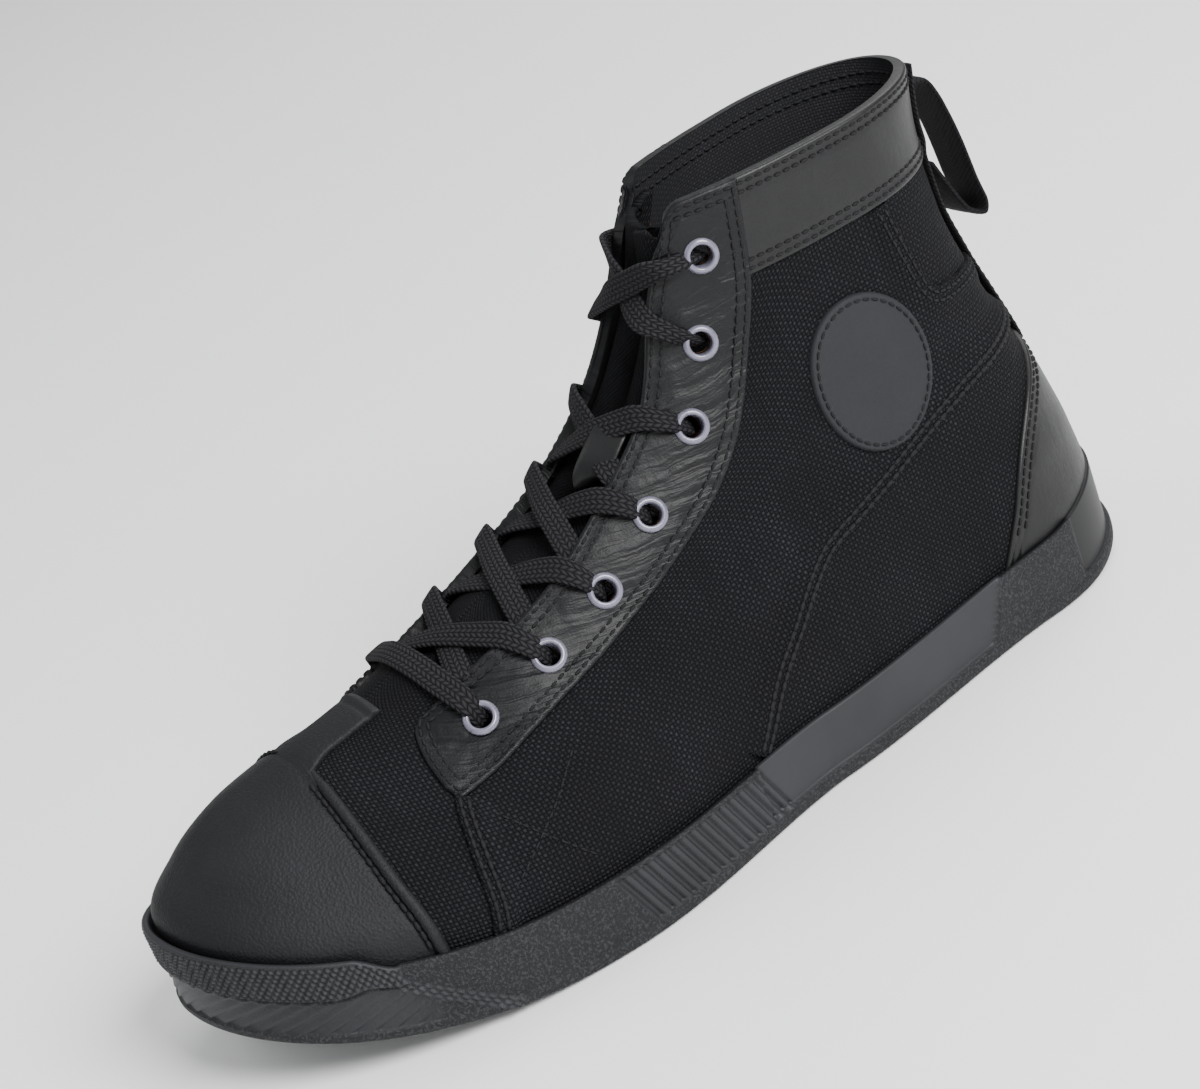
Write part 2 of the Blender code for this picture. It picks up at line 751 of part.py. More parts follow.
def build_eyelets(group):
    mesh = eyelet_mesh()
    mesh.shade_smooth()
    for side, name in ((1, "lateral"), (-1, "medial")):
        for row in range(len(EYELETS)):
            piece = add_object(f"eyelet_{name}_{row + 1}", mesh, "enamel", group)
            point, turn, lift = eyelet_frame(row, side)
            piece.location = point
            piece.rotation_mode = "QUATERNION"
            piece.rotation_quaternion = turn


def strip_mesh(name, centres, across, normals, width, thickness, closed=False):
    """Ribbon of flat section along a row of points."""
    points, faces = [], []
    for c, a, n in zip(centres, across, normals):
        for u, v in ((-1, -1), (1, -1), (1, 1), (-1, 1)):
            points.append(c + a * (u * width / 2) + n * (v * thickness / 2))
    count = len(centres)
    for i in range(count if closed else count - 1):
        j = (i + 1) % count
        for k in range(4):
            faces.append([4 * i + k, 4 * i + (k + 1) % 4, 4 * j + (k + 1) % 4, 4 * j + k])
    if not closed:
        faces += [[0, 1, 2, 3], [4 * count - 1, 4 * count - 2, 4 * count - 3, 4 * count - 4]]
    return mesh_from(name, points, faces)


def frames_along(points, normals):
    """Across directions of a ribbon that lies on the given normals."""
    points = np.asarray(points)
    run = np.gradient(points, axis=0)
    across = np.cross(normals, run)
    across = across / np.linalg.norm(across, axis=1)[:, None]
    lie = np.cross(run, across)
    lie = lie / np.linalg.norm(lie, axis=1)[:, None]
    return across, lie


LACE_STEPS = 5
LACE_ON_STAY = OVERLAY + 2 * CLEARANCE + 2.5 * MM
LACE_STOP = 5.9 * MM
LACE_TURN = 3.6 * MM


def skin_hit(origin, direction):
    """Angle and level where a ray from inside the last leaves it."""
    near, far = 0.0, INSTEP
    for _ in range(40):
        reach = (near + far) / 2
        x, y, z = origin + direction * reach
        place = HEEL_SHARE - y / LENGTH
        level = level_of(z - float(spring(place)))
        back, front = slice_ends(level)
        inside = level < 2 and back < place < front
        if inside:
            angle = math.copysign(float(angle_at(place, level)), x - float(centre_line(place)))
            edge = skin(angle, level)[0] - float(centre_line(place))
            inside = abs(x - float(centre_line(place))) < abs(edge)
        if inside:
            near = reach
        else:
            far = reach
    return angle, level


def level_of(high):
    """Level of a height above the flat."""
    return min(high / INSTEP, 1) + max(high - INSTEP, 0) / (SHAFT_HEIGHT - INSTEP)


def strand_mesh(name, start, end, ends_high, middle_high, length=None):
    """One ribbon from eyelet to eyelet over the foot; start and end are (row, side)."""
    places = []
    for row, side in (start, end):
        place, level = EYELETS[row]
        places.append(skin(side * float(angle_at(place, level)), level))
    row = min(start[0], end[0], len(EYELETS) - 2)
    upper_one, lower_one = side_point(*EYELETS[row]), side_point(*EYELETS[row + 1])
    direction = np.array([0, upper_one[1] - lower_one[1], lower_one[0] - upper_one[0]])
    direction = -direction / np.linalg.norm(direction)
    span = np.linalg.norm(places[1] - places[0])
    points, normals = [], []
    first, last, steps = LACE_STOP / span, 1 - LACE_STOP / span, LACE_STEPS
    if length:
        last, steps = first + length / span, 3
    for t in np.linspace(first, last, steps):
        origin = places[0] + (places[1] - places[0]) * t
        angle, level = skin_hit(origin, direction)
        over = 4 * t * (1 - t)
        points.append(offset_skin(angle, level, ends_high * (1 - over) + middle_high * over))
        normals.append(skin_normal(angle, level))
    across, lie = frames_along(points, np.array(normals))
    thickness = LACE_THICKNESS + (0.5 * MM if length else 0)
    return strip_mesh(name, np.array(points), across, lie, LACE_WIDTH, thickness)


def joined(name, meshes):
    """One mesh of several."""
    bm = bmesh.new()
    for mesh in meshes:
        bm.from_mesh(mesh)
        bpy.data.meshes.remove(mesh)
    result = bpy.data.meshes.new(name)
    bm.to_mesh(result)
    bm.free()
    return result


def build_lace(group, cutters):
    """Crossed strands and the bar, joined where they cross and turn."""
    ways = {}
    for side in (1, -1):
        high = LACE_ON_STAY + 0.2 * MM * side
        ways[side] = [
            strand_mesh("strand", (row, side), (row - 1, -side), high, high - LACE_DIP)
            for row in range(len(EYELETS) - 1, 0, -1)
        ]
    last = len(EYELETS) - 1
    bar = strand_mesh("lace_bar", (last, 1), (last, -1), LACE_ON_STAY, LACE_ON_STAY - LACE_DIP)
    lace = add_object("lace_crossings", joined("lace_crossings", ways[1]), "webbing", group)
    other = add_object("lace_other_way", joined("lace_other_way", ways[-1]), None, cutters)
    turns = [
        strand_mesh("turn", (row, side), (row, -side), LACE_ON_STAY, LACE_ON_STAY, LACE_TURN)
        for row in range(1, last) for side in (1, -1)
    ]
    cut(lace, other, "UNION")
    cut(lace, add_object("lace_bar", bar, None, cutters), "UNION")
    cut(lace, add_object("lace_turns", joined("lace_turns", turns), None, cutters), "UNION")
    return lace


LOOP_COLUMNS = "out level".split()
LOOP = np.array([
    (0.0, 1.90), (0.012, 1.895), (0.032, 1.80), (0.044, 1.62), (0.047, 1.44),
    (0.036, 1.385), (0.022, 1.42), (0.010, 1.53), (0.0, 1.63),
])


def build_pull_loop(group):
    """Strap that hangs out behind the cuff, both ends held to the shaft."""
    travel = np.arange(len(LOOP))
    t = np.linspace(0, len(LOOP) - 1, 25)
    out = smooth_curve(travel, LOOP[:, 0], t) * LENGTH
    level = smooth_curve(travel, LOOP[:, 1], t)
    seat = OVERLAY + 2 * CLEARANCE + WEBBING_THICKNESS / 2
    points = skin(0.0 * t, level)
    points[:, 1] += out + seat
    normals = np.cross(np.gradient(points, axis=0), np.array([1.0, 0, 0]))
    across = np.tile(np.array([1.0, 0, 0]), (len(t), 1))
    lie = normals / np.linalg.norm(normals, axis=1)[:, None]
    mesh = strip_mesh("pull_loop", points, across, lie, WEBBING_WIDTH, WEBBING_THICKNESS)
    return add_object("pull_loop", mesh, "webbing", group)


def build_piping(side, cutters):
    """Rolled edge along the back of the toe cap, from the sole to the tab."""
    points, normals = [], []
    lift = PIPING_HEIGHT / 2 + 1.3 * CLEARANCE
    for level in np.linspace(0.37, 0.885, 8):
        place = float(smooth_curve(CAP_EDGE[:, 1], CAP_EDGE[:, 0], level)) - PIPING_WIDTH * 0.3 / LENGTH
        angle = side * float(angle_at(place, level))
        points.append(offset_skin(angle, level, lift))
        normals.append(skin_normal(angle, level))
    across, lie = frames_along(points, np.array(normals))
    name = "piping_lateral" if side > 0 else "piping_medial"
    mesh = strip_mesh(name, np.array(points), across, lie, PIPING_WIDTH, PIPING_HEIGHT)
    return add_object(name, mesh, None, cutters)


def overlay(name, layer, finish, cutter, group):
    """Piece cut from the layer that lies on the last's skin."""
    mesh = layer.copy()
    mesh.name = name
    mesh.materials.clear()
    piece = add_object(name, mesh, finish, group)
    cut(piece, cutter, "INTERSECT")
    return piece


def build_overlays(nodes, cells, punches, group, cutters):
    far = BALL_WIDTH
    layer = thick_sheet("layer", nodes, cells, CLEARANCE, CLEARANCE + OVERLAY)
    high = side_point(STAY_EDGE[0, 0], 2.4)

    edge = seam_points(STAY_EDGE, 0, 1, 19)
    front = [side_point(*row) for row in STAY_FRONT]
    outline = [high] + edge + front + [(front[-1][0], high[1])]
    for side, name in ((1, "lateral"), (-1, "medial")):
        span = (0, far) if side > 0 else (-far, 0)
        cutter = prism(f"stay_outline_{name}", outline, span[0], span[1], cutters)
        stay = overlay(f"eyestay_{name}", layer, "leather", cutter, group)
        cut(stay, punches, "DIFFERENCE")

    gap = 2 * CLEARANCE
    cuff_edge = [(y + gap, z) for y, z in edge if z > side_point(0.3, CUFF_LEVEL)[1] - 1 * MM]
    low = side_point(0.3, CUFF_LEVEL)[1]
    outline = [(cuff_edge[0][0], high[1])] + cuff_edge[:-1] + [
        (cuff_edge[-1][0], low), (LENGTH, low), (LENGTH, high[1])]
    cutter = prism("cuff_outline", outline, -far, far, cutters)
    overlay("collar_cuff", layer, "leather", cutter, group)

    edge = above_sole(seam_points(COUNTER_EDGE, 0, 1, 13))
    outline = [(LENGTH, edge[0][1])] + edge + foxing_line(0.174, -0.10, 14)
    cutter = prism("counter_outline", outline, -far, far, cutters)
    overlay("heel_counter", layer, "leather", cutter, group)

    edge = above_sole(seam_points(CAP_EDGE, 0, 1, 11))
    top = (edge[0][0], SHAFT_HEIGHT)
    outline = [top] + edge + foxing_line(0.828, 1.05, 24) + [(-LENGTH, SHAFT_HEIGHT)]
    cutter = prism("cap_outline", outline, -far, far, cutters)
    tab = build_tab_cutter(cutters)
    cut(cutter, tab, "UNION")
    cap = overlay("toe_cap", layer, "cap", cutter, group)
    cut(cap, build_piping(1, cutters), "UNION")
    cut(cap, build_piping(-1, cutters), "UNION")

    build_patch(nodes, cells, group, cutters)
    build_webbing(layer, group, cutters)


def build_tab_cutter(cutters):
    """Upright block over the tab that runs back from the cap along the ridge."""
    start, end = TAB_BACK, CAP_EDGE[0, 0] + 0.03
    middle = float(centre_line((start + end) / 2)) - TAB_SHIFT
    bm = bmesh.new()
    size = Matrix.Diagonal((2 * TAB_HALF, (end - start) * LENGTH, SHAFT_HEIGHT, 1))
    y = (HEEL_SHARE - (start + end) / 2) * LENGTH
    at = Matrix.Translation((middle, y, INSTEP * 0.6 + SHAFT_HEIGHT / 2))
    bmesh.ops.create_cube(bm, size=1, matrix=at @ size)
    mesh = bpy.data.meshes.new("tab_outline")
    bm.to_mesh(mesh)
    bm.free()
    return add_object("tab_outline", mesh, None, cutters)


def build_patch(nodes, cells, group, cutters):
    """Round badge over the ankle."""
    layer = thick_sheet("ankle_patch", nodes, cells, CLEARANCE, CLEARANCE + PATCH_THICKNESS)
    y, z = side_point(*PATCH_PLACE)
    bm = bmesh.new()
    turn = Matrix.Rotation(math.pi / 2, 4, "Y")
    bmesh.ops.create_cone(bm, cap_ends=True, segments=28, radius1=PATCH_RADIUS, radius2=PATCH_RADIUS,
                          depth=BALL_WIDTH, matrix=Matrix.Translation((BALL_WIDTH / 2, y, z)) @ turn)
    mesh = bpy.data.meshes.new("patch_outline")
    bm.to_mesh(mesh)
    bm.free()
    cutter = add_object("patch_outline", mesh, None, cutters)
    piece = add_object("ankle_patch", layer, "badge", group)
    cut(piece, cutter, "INTERSECT")


def build_webbing(layer, group, cutters):
    """Strip up the back seam, from the counter to the cuff."""
    low = side_point(0, COUNTER_EDGE[0, 1])[1] + 2 * CLEARANCE
    high = side_point(0, CUFF_LEVEL)[1] - 2 * CLEARANCE
    outline = [(0.0, low), (LENGTH, low), (LENGTH, high), (0.0, high)]
    cutter = prism("webbing_outline", outline, -WEBBING_WIDTH / 2, WEBBING_WIDTH / 2, cutters)
    overlay("heel_webbing", layer, "webbing", cutter, group)


def main():
    for old in list(bpy.data.objects):
        bpy.data.objects.remove(old, do_unlink=True)
    group = collection("motorcycle_boot")
    cutters = collection("cutters")
    nodes, cells = last_grid()
    punches = build_eyelet_cutter(cutters)
    upper = add_object("upper", thick_sheet("upper", nodes, cells, -UPPER_WALL, 0.0), "canvas", group)
    cut(upper, punches, "DIFFERENCE")
    build_outsole(group, cutters)
    build_insole(group)
    build_tongue(group)
    build_overlays(nodes, cells, punches, group, cutters)
    build_eyelets(group)
    build_lace(group, cutters)
    build_pull_loop(group)


main()
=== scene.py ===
# Looks of a left riding boot: cloth upper on its last, leather overlays, laces,
# cupsole, stitches and hardware, with a pale floor, soft lights and a camera.
# Metres, +Z up, toe along -Y, outer side +X, origin on the floor under the heel.
import math

import bmesh
import bpy
import numpy as np
from mathutils import Matrix, Vector

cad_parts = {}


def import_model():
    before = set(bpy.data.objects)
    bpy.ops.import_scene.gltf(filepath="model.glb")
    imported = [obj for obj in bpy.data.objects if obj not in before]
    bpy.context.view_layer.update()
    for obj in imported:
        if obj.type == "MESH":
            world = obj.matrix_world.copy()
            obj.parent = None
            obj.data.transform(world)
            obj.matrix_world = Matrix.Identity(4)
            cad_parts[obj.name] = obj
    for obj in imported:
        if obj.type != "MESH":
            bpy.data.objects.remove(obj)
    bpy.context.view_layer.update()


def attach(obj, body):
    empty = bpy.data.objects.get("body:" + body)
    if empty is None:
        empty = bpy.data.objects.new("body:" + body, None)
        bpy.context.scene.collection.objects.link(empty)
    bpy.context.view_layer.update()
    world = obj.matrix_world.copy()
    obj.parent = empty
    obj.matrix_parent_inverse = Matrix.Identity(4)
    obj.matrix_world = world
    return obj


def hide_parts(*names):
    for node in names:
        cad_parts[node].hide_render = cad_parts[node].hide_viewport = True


MM = 0.001

# The last's sizes, as the solids have them
LENGTH = 302 * MM
BALL_WIDTH = 107 * MM
HEEL_WIDTH = 77 * MM
INSTEP = 70 * MM
SHAFT_HEIGHT = 155 * MM
HEEL_SHARE = 0.15
TOE_SPRING = 20.4 * MM
SPRING_START = 0.69
TOE_SWING = 0.075
TOE_FULLNESS = 0.965
ROUND_POWER = 2.1

SLICE_COLUMNS = "level back front heel waist ball even round_back round_front".split()
SLICES = np.array([
    (0.17, 0.015, 0.988, 0.448, 0.393, 0.519, 0.00, 0.139, 0.250),
    (0.36, 0.012, 0.987, 0.458, 0.397, 0.523, 0.00, 0.139, 0.250),
    (0.57, 0.016, 0.955, 0.458, 0.374, 0.486, 0.10, 0.152, 0.310),
    (0.74, 0.023, 0.911, 0.445, 0.355, 0.435, 0.25, 0.158, 0.430),
    (0.89, 0.031, 0.834, 0.432, 0.332, 0.374, 0.40, 0.158, 0.530),
    (1.00, 0.038, 0.748, 0.420, 0.313, 0.355, 0.50, 0.155, 0.545),
    (1.12, 0.048, 0.656, 0.410, 0.308, 0.355, 0.65, 0.150, 0.490),
    (1.29, 0.062, 0.538, 0.392, 0.285, 0.340, 0.85, 0.142, 0.330),
    (1.53, 0.075, 0.455, 0.368, 0.234, 0.300, 1.00, 0.127, 0.215),
    (1.76, 0.076, 0.414, 0.345, 0.215, 0.280, 1.00, 0.127, 0.182),
    (2.00, 0.065, 0.399, 0.338, 0.196, 0.260, 1.00, 0.130, 0.166),
])
STATION_COLUMNS = "place medial".split()
STATIONS = np.array([(0.15, 0.93), (0.42, 0.77), (0.68, 0.78), (0.85, 0.75)])
FOXING_COLUMNS = "place height".split()
FOXING = np.array([
    (0.00, 0.40), (0.05, 0.37), (0.13, 0.315), (0.30, 0.29), (0.50, 0.29),
    (0.70, 0.305), (0.865, 0.305), (0.895, 0.36), (1.00, 0.36),
])

# Seams of the outer side, rows of place and level
SEAM_COLUMNS = "place level".split()
THROAT = np.array([
    (0.692, 1.00), (0.632, 1.07), (0.566, 1.165), (0.490, 1.32),
    (0.437, 1.48), (0.387, 1.80), (0.361, 2.00),
])
STAY_FRONT = np.array([
    (0.755, 0.767), (0.7535, 0.823), (0.7485, 0.885), (0.7435, 0.920), (0.733, 0.948),
    (0.716, 0.968), (0.702, 0.985), (0.692, 1.00),
])
STAY_EDGE = np.array([
    (0.293, 2.00), (0.311, 1.71), (0.338, 1.506), (0.377, 1.306), (0.421, 1.165),
    (0.470, 1.07), (0.526, 0.98), (0.593, 0.893), (0.660, 0.82), (0.750, 0.722),
])
COUNTER_EDGE = np.array([
    (0.033, 0.98), (0.060, 0.91), (0.094, 0.82), (0.136, 0.64), (0.160, 0.46), (0.188, 0.27),
])
CAP_EDGE = np.array([
    (0.828, 0.27), (0.8315, 0.43), (0.8335, 0.58), (0.832, 0.72), (0.829, 0.85), (0.824, 0.905),
])
VAMP_SEAM = np.array([(0.752, 0.745), (0.760, 0.69), (0.7725, 0.558), (0.788, 0.30)])
REAR_SEAM = np.array([
    (0.492, 0.27), (0.454, 0.436), (0.411, 0.586), (0.374, 0.721), (0.348, 0.786),
    (0.308, 0.829), (0.265, 0.879), (0.212, 0.950), (0.152, 1.018), (0.109, 1.035), (0.060, 1.050), (0.0436, 1.054),
])
COLLAR_SEAM = np.array([
    (0.169, 1.70), (0.162, 1.53), (0.150, 1.375), (0.089, 1.33), (0.055, 1.29),
])
CROSS_STITCHES = np.array([
    (0.652, 0.729, 0.781, 0.357), (0.748, 0.729, 0.682, 0.40),
])
EYELETS = np.array([
    (0.344, 1.82), (0.374, 1.576), (0.414, 1.365), (0.483, 1.194),
    (0.550, 1.065), (0.619, 0.971), (0.695, 0.893),
])
CUFF_LEVEL = 1.70
PATCH_PLACE = (0.242, 1.247)
PATCH_RADIUS = 21.6 * MM
PATCH_NARROW = 0.87
TAB_BACK = 0.750
TAB_HALF = 7.5 * MM
TAB_SHIFT = 1.5 * MM
INNER_SET_BACK = 0.042
CORNER_ROUND = 5.5 * MM
THROAT_RISE = 0.06
HOLE_RADIUS = 3.5 * MM

# Thicknesses above the cloth
UPPER_WALL = 2.0 * MM
OVERLAY = 1.45 * MM
TONGUE_DEPTH = 3.0 * MM
SIDEWALL = 3.5 * MM

# Creases: side (1 outer, -1 inner, 0 both), two ends as place and level,
# half width and depth in millimetres; a ridge has a negative depth.
CREASE_COLUMNS = "side place level place_end level_end width depth".split()
CREASES = np.array([
    (0, 0.700, 0.60, 0.735, 0.92, 7.0, 0.7),
    (0, 0.765, 0.45, 0.790, 0.86, 6.0, 0.5),
    (0, 0.430, 0.95, 0.520, 0.72, 8.0, 0.8),
    (0, 0.360, 1.12, 0.440, 0.78, 9.0, -0.7),
    (1, 0.300, 1.58, 0.360, 1.30, 7.0, 0.6),
    (0, 0.120, 1.22, 0.200, 1.06, 8.0, 0.7),
    (0, 0.560, 0.70, 0.640, 0.48, 9.0, 0.6),
    (-1, 0.480, 0.62, 0.600, 0.40, 12.0, -0.8),
])


def smooth_curve(xs, ys, x):
    """Cubic through a table, without overshoot, held level past its ends."""
    xs = np.asarray(xs, float)
    ys = np.asarray(ys, float)
    order = np.argsort(xs, kind="stable")
    xs, ys = xs[order], ys[order]
    step = np.diff(xs)
    slope = np.diff(ys) / step
    before, after = slope[:-1], slope[1:]
    same_way = before * after > 0
    total = np.where(same_way, before + after, 1)
    tangent = np.concatenate([slope[:1], np.where(same_way, 2 * before * after / total, 0), slope[-1:]])
    x = np.clip(x, xs[0], xs[-1])
    i = np.clip(np.searchsorted(xs, x, side="right") - 1, 0, len(step) - 1)
    t = (x - xs[i]) / step[i]
    value = (1 + 2 * t) * (1 - t) ** 2 * ys[i] + t * t * (3 - 2 * t) * ys[i + 1]
    return value + step[i] * (t * (1 - t) ** 2 * tangent[i] + t * t * (t - 1) * tangent[i + 1])


def smooth_step(low, high, x):
    t = np.clip((np.asarray(x, float) - low) / (high - low), 0, 1)
    return t * t * (3 - 2 * t)


def height(level):
    """Height above the flat of a level: 1 is the instep, 2 the collar."""
    level = np.asarray(level, float)
    return np.minimum(level, 1) * INSTEP + np.maximum(level - 1, 0) * (SHAFT_HEIGHT - INSTEP)


def level_at(high):
    high = np.asarray(high, float)
    return np.minimum(high / INSTEP, 1) + np.maximum(high - INSTEP, 0) / (SHAFT_HEIGHT - INSTEP)


def slice_value(name, level):
    return smooth_curve(SLICES[:, 0], SLICES[:, SLICE_COLUMNS.index(name)], level)


def spring(place):
    t = np.clip((place - SPRING_START) / (1 - SPRING_START), 0, None)
    return TOE_SPRING * t * t


def centre_line(place):
    t = np.clip((place - 0.45) / 0.45, 0, 1)
    return -TOE_SWING * BALL_WIDTH * t * t * (3 - 2 * t)


def rounding(distance, reach):
    t = 1 - np.clip(distance / reach, 0, 1)
    return (1 - t ** ROUND_POWER) ** (1 / ROUND_POWER)


def half_width(place, level, side):
    """Width from the centre line to one side, before the ends are rounded."""
    even = slice_value("even", level)
    ball = slice_value("ball", level) * BALL_WIDTH
    widths = [slice_value("heel", level) * HEEL_WIDTH, slice_value("waist", level) * BALL_WIDTH,
              ball, ball * TOE_FULLNESS]
    if side < 0:
        widths = [w * (m + (1 - m) * even) for w, m in zip(widths, STATIONS[:, 1])]
    at = STATIONS[:, 0]
    result = widths[0] + 0 * place
    for i in range(3):
        result = result + (widths[i + 1] - widths[i]) * smooth_step(at[i], at[i + 1], place)
    return result


def slice_ends(level):
    return slice_value("back", level), slice_value("front", level)


def skin(angle, level):
    """Point of the last: angle 0 at the back, half a turn at the front, + outer side."""
    angle, level = np.broadcast_arrays(np.asarray(angle, float), np.asarray(level, float))
    held = np.minimum(level, 2)
    back, front = slice_ends(held)
    place = back + (front - back) * (1 - np.cos(angle)) / 2
    ends = rounding(place - back, slice_value("round_back", held))
    ends = ends * rounding(front - place, slice_value("round_front", held))
    width = np.where(np.sin(angle) >= 0, half_width(place, held, 1), -half_width(place, held, -1))
    x = centre_line(place) + width * ends
    y = (HEEL_SHARE - place) * LENGTH
    return np.stack([x, y, height(level) + spring(place)], -1)


def unit(vectors):
    return vectors / np.maximum(np.linalg.norm(vectors, axis=-1, keepdims=True), 1e-12)


def skin_normal(angle, level):
    step = 0.004
    along = skin(angle + step, level) - skin(angle - step, level)
    up = skin(angle, np.minimum(level + step, 2)) - skin(angle, np.minimum(level, 2) - step)
    return unit(np.cross(up, along))


def angle_at(place, level):
    back, front = slice_ends(np.minimum(level, 2))
    return np.arccos(np.clip(1 - 2 * (place - back) / (front - back), -1, 1))


def place_of(angle, level):
    back, front = slice_ends(np.minimum(level, 2))
    return back + (front - back) * (1 - np.cos(angle)) / 2


def inner_set_back(level):
    return INNER_SET_BACK * smooth_step(1.25, 2.15, level) ** 1.15


def throat_angle(level, side=1):
    """Angle of the throat's edge; the inner side is set back towards the collar."""
    level = np.maximum(level, THROAT[0, 1])
    place = smooth_curve(THROAT[:, 1], THROAT[:, 0], level)
    if side < 0:
        place = place - inner_set_back(level)
    return angle_at(place, level)


def foxing(place):
    return smooth_curve(FOXING[:, 0], FOXING[:, 1], place) * INSTEP


def segment_distance(y, z, ends):
    """Distance from side-view points to a segment, and how far along it they lie."""
    (y0, z0), (y1, z1) = ends
    run = np.array([y1 - y0, z1 - z0])
    t = ((y - y0) * run[0] + (z - z0) * run[1]) / (run @ run)
    near = np.clip(t, 0, 1)
    return np.hypot(y - y0 - near * run[0], z - z0 - near * run[1]), t


def side_point(place, level):
    return (HEEL_SHARE - place) * LENGTH, float(height(level) + spring(place))


def creases(angle, level, points):
    """Depth of the soft troughs and ridges at points of the skin."""
    total = np.zeros(points.shape[:-1])
    for side, p0, l0, p1, l1, width, depth in CREASES:
        far, _ = segment_distance(points[..., 1], points[..., 2], (side_point(p0, l0), side_point(p1, l1)))
        soft = np.exp(-(far / (width * MM)) ** 2)
        if side:
            soft = soft * smooth_step(0, 0.4, side * np.sin(angle))
        total += depth * MM * soft
    return total


def corner_drop(angle, level):
    """How far the rounded top front corners of the two quarters stand below the rim."""
    held = np.minimum(level, 2)
    inner = np.sin(angle) < 0
    edge = smooth_curve(THROAT[:, 1], THROAT[:, 0], held) - inner_set_back(held) * inner
    far = (edge - place_of(angle, held)) * LENGTH
    short = CORNER_ROUND - np.clip(far, 0, CORNER_ROUND)
    drop = CORNER_ROUND - np.sqrt(CORNER_ROUND ** 2 - short ** 2)
    return drop * smooth_step(1.84, 2.0, held) * smooth_step(-2.5 * MM, 0, far)


def surface(angle, level, lift):
    """Point above the creased skin."""
    base = skin(angle, level)
    out = np.asarray(lift) - creases(angle, level, base)
    base[..., 2] -= corner_drop(angle, level)
    return base + skin_normal(angle, level) * out[..., None]


def cloth_table():
    """Lengths along the slices from each side's middle, and square to them, for the weave's map."""
    angles = np.linspace(-0.08, 2 * math.pi + 0.08, 500)
    levels = np.linspace(0.1, 2.0, 160)
    points = skin(angles[None, :], levels[:, None])
    along = np.linalg.norm(np.diff(points, axis=1), axis=2)
    arc = np.concatenate([np.zeros((len(levels), 1)), np.cumsum(along, axis=1)], axis=1)
    halves = []
    for middle, way in ((math.pi / 2, 1), (1.5 * math.pi, -1)):
        at = np.argmin(np.abs(angles - middle))
        halves.append((arc - arc[:, at:at + 1]) * way - points[:, at:at + 1, 1])
    u = np.where(angles < math.pi, halves[0], halves[1])
    run = unit(np.gradient(points, axis=1))[:-1]
    step = np.diff(points, axis=0)
    square = step - np.sum(step * run, axis=2, keepdims=True) * run
    up = np.linalg.norm(square, axis=2)
    v = np.concatenate([np.zeros((1, len(angles))), np.cumsum(up, axis=0)], axis=0)
    return angles, levels, u, v


CLOTH = cloth_table()


def cloth_map(angle, level):
    """Weave coordinates in metres at points of the skin."""
    angles, levels, u, v = CLOTH
    angle = np.mod(angle, 2 * math.pi)
    a = np.clip((angle - angles[0]) / (angles[1] - angles[0]), 0, len(angles) - 1.001)
    b = np.clip((np.asarray(level, float) - levels[0]) / (levels[1] - levels[0]), 0, len(levels) - 1.001)
    i, j = a.astype(int), b.astype(int)
    s, t = a - i, b - j
    result = []
    for grid in (u, v):
        low = grid[j, i] * (1 - s) + grid[j, i + 1] * s
        high = grid[j + 1, i] * (1 - s) + grid[j + 1, i + 1] * s
        result.append(low * (1 - t) + high * t)
    return np.stack(result, -1)


def curve_through(table, count):
    """Evenly spaced rows along a seam, smooth between its named rows."""
    table = np.asarray(table, float)
    flat = np.stack([table[:, 0] * LENGTH, height(table[:, 1])], 1)
    travel = np.concatenate([[0], np.cumsum(np.linalg.norm(np.diff(flat, axis=0), axis=1))])
    fine = np.linspace(0, travel[-1], 400)
    rows = np.stack([smooth_curve(travel, table[:, k], fine) for k in range(2)], 1)
    t = np.linspace(0, travel[-1], count) if np.isscalar(count) else np.asarray(count) * travel[-1]
    return np.stack([np.interp(t, fine, rows[:, k]) for k in range(2)], 1)


def stops(count, length, edge, first=True, last=True):
    """Shares from 0 to 1, closer together within the edge's distance of the ends."""
    share = edge / length
    near = np.array([0, 0.08, 0.22, 0.42, 0.68, 1.0]) * share
    middle = np.linspace(share if first else 0, 1 - share if last else 1, count)
    parts = [middle]
    if first:
        parts.insert(0, near[:-1])
    if last:
        parts.append(1 - near[:-1][::-1])
    return np.concatenate(parts)


def mesh_object(name, points, faces, uv=None, layers=None, smooth=True):
    """Mesh from arrays, with its own map and named numbers on its corners."""
    points = np.asarray(points, np.float32)
    faces = np.asarray(faces, np.int32)
    mesh = bpy.data.meshes.new(name)
    mesh.vertices.add(len(points))
    mesh.vertices.foreach_set("co", points.ravel())
    mesh.loops.add(faces.size)
    mesh.loops.foreach_set("vertex_index", faces.ravel())
    mesh.polygons.add(len(faces))
    mesh.polygons.foreach_set("loop_start", np.arange(0, faces.size, faces.shape[1], dtype=np.int32))
    mesh.polygons.foreach_set("use_smooth", np.full(len(faces), smooth))
    if uv is not None:
        layer = mesh.uv_layers.new(name="map")
        layer.data.foreach_set("uv", np.asarray(uv, np.float32)[faces.ravel()].ravel())
    for key, values in (layers or {}).items():
        attribute = mesh.attributes.new(key, "FLOAT", "POINT")
        attribute.data.foreach_set("value", np.asarray(values, np.float32).ravel())
    mesh.update()
    mesh.validate()
    piece = bpy.data.objects.new(name, mesh)
    bpy.context.scene.collection.objects.link(piece)
    return piece


def grid_faces(rows, columns, closed=False):
    r = np.arange(rows - 1)[:, None]
    c = np.arange(columns if closed else columns - 1)[None, :]
    after = (c + 1) % columns
    corners = np.stack(np.broadcast_arrays(r * columns + c, r * columns + after,
                                           (r + 1) * columns + after, (r + 1) * columns + c), -1)
    return corners.reshape(-1, 4)


def finish_piece(piece, material, replaced=()):
    piece.data.materials.clear()
    piece.data.materials.append(material)
    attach(piece, "root")
    if replaced:
        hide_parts(*replaced)
    return piece


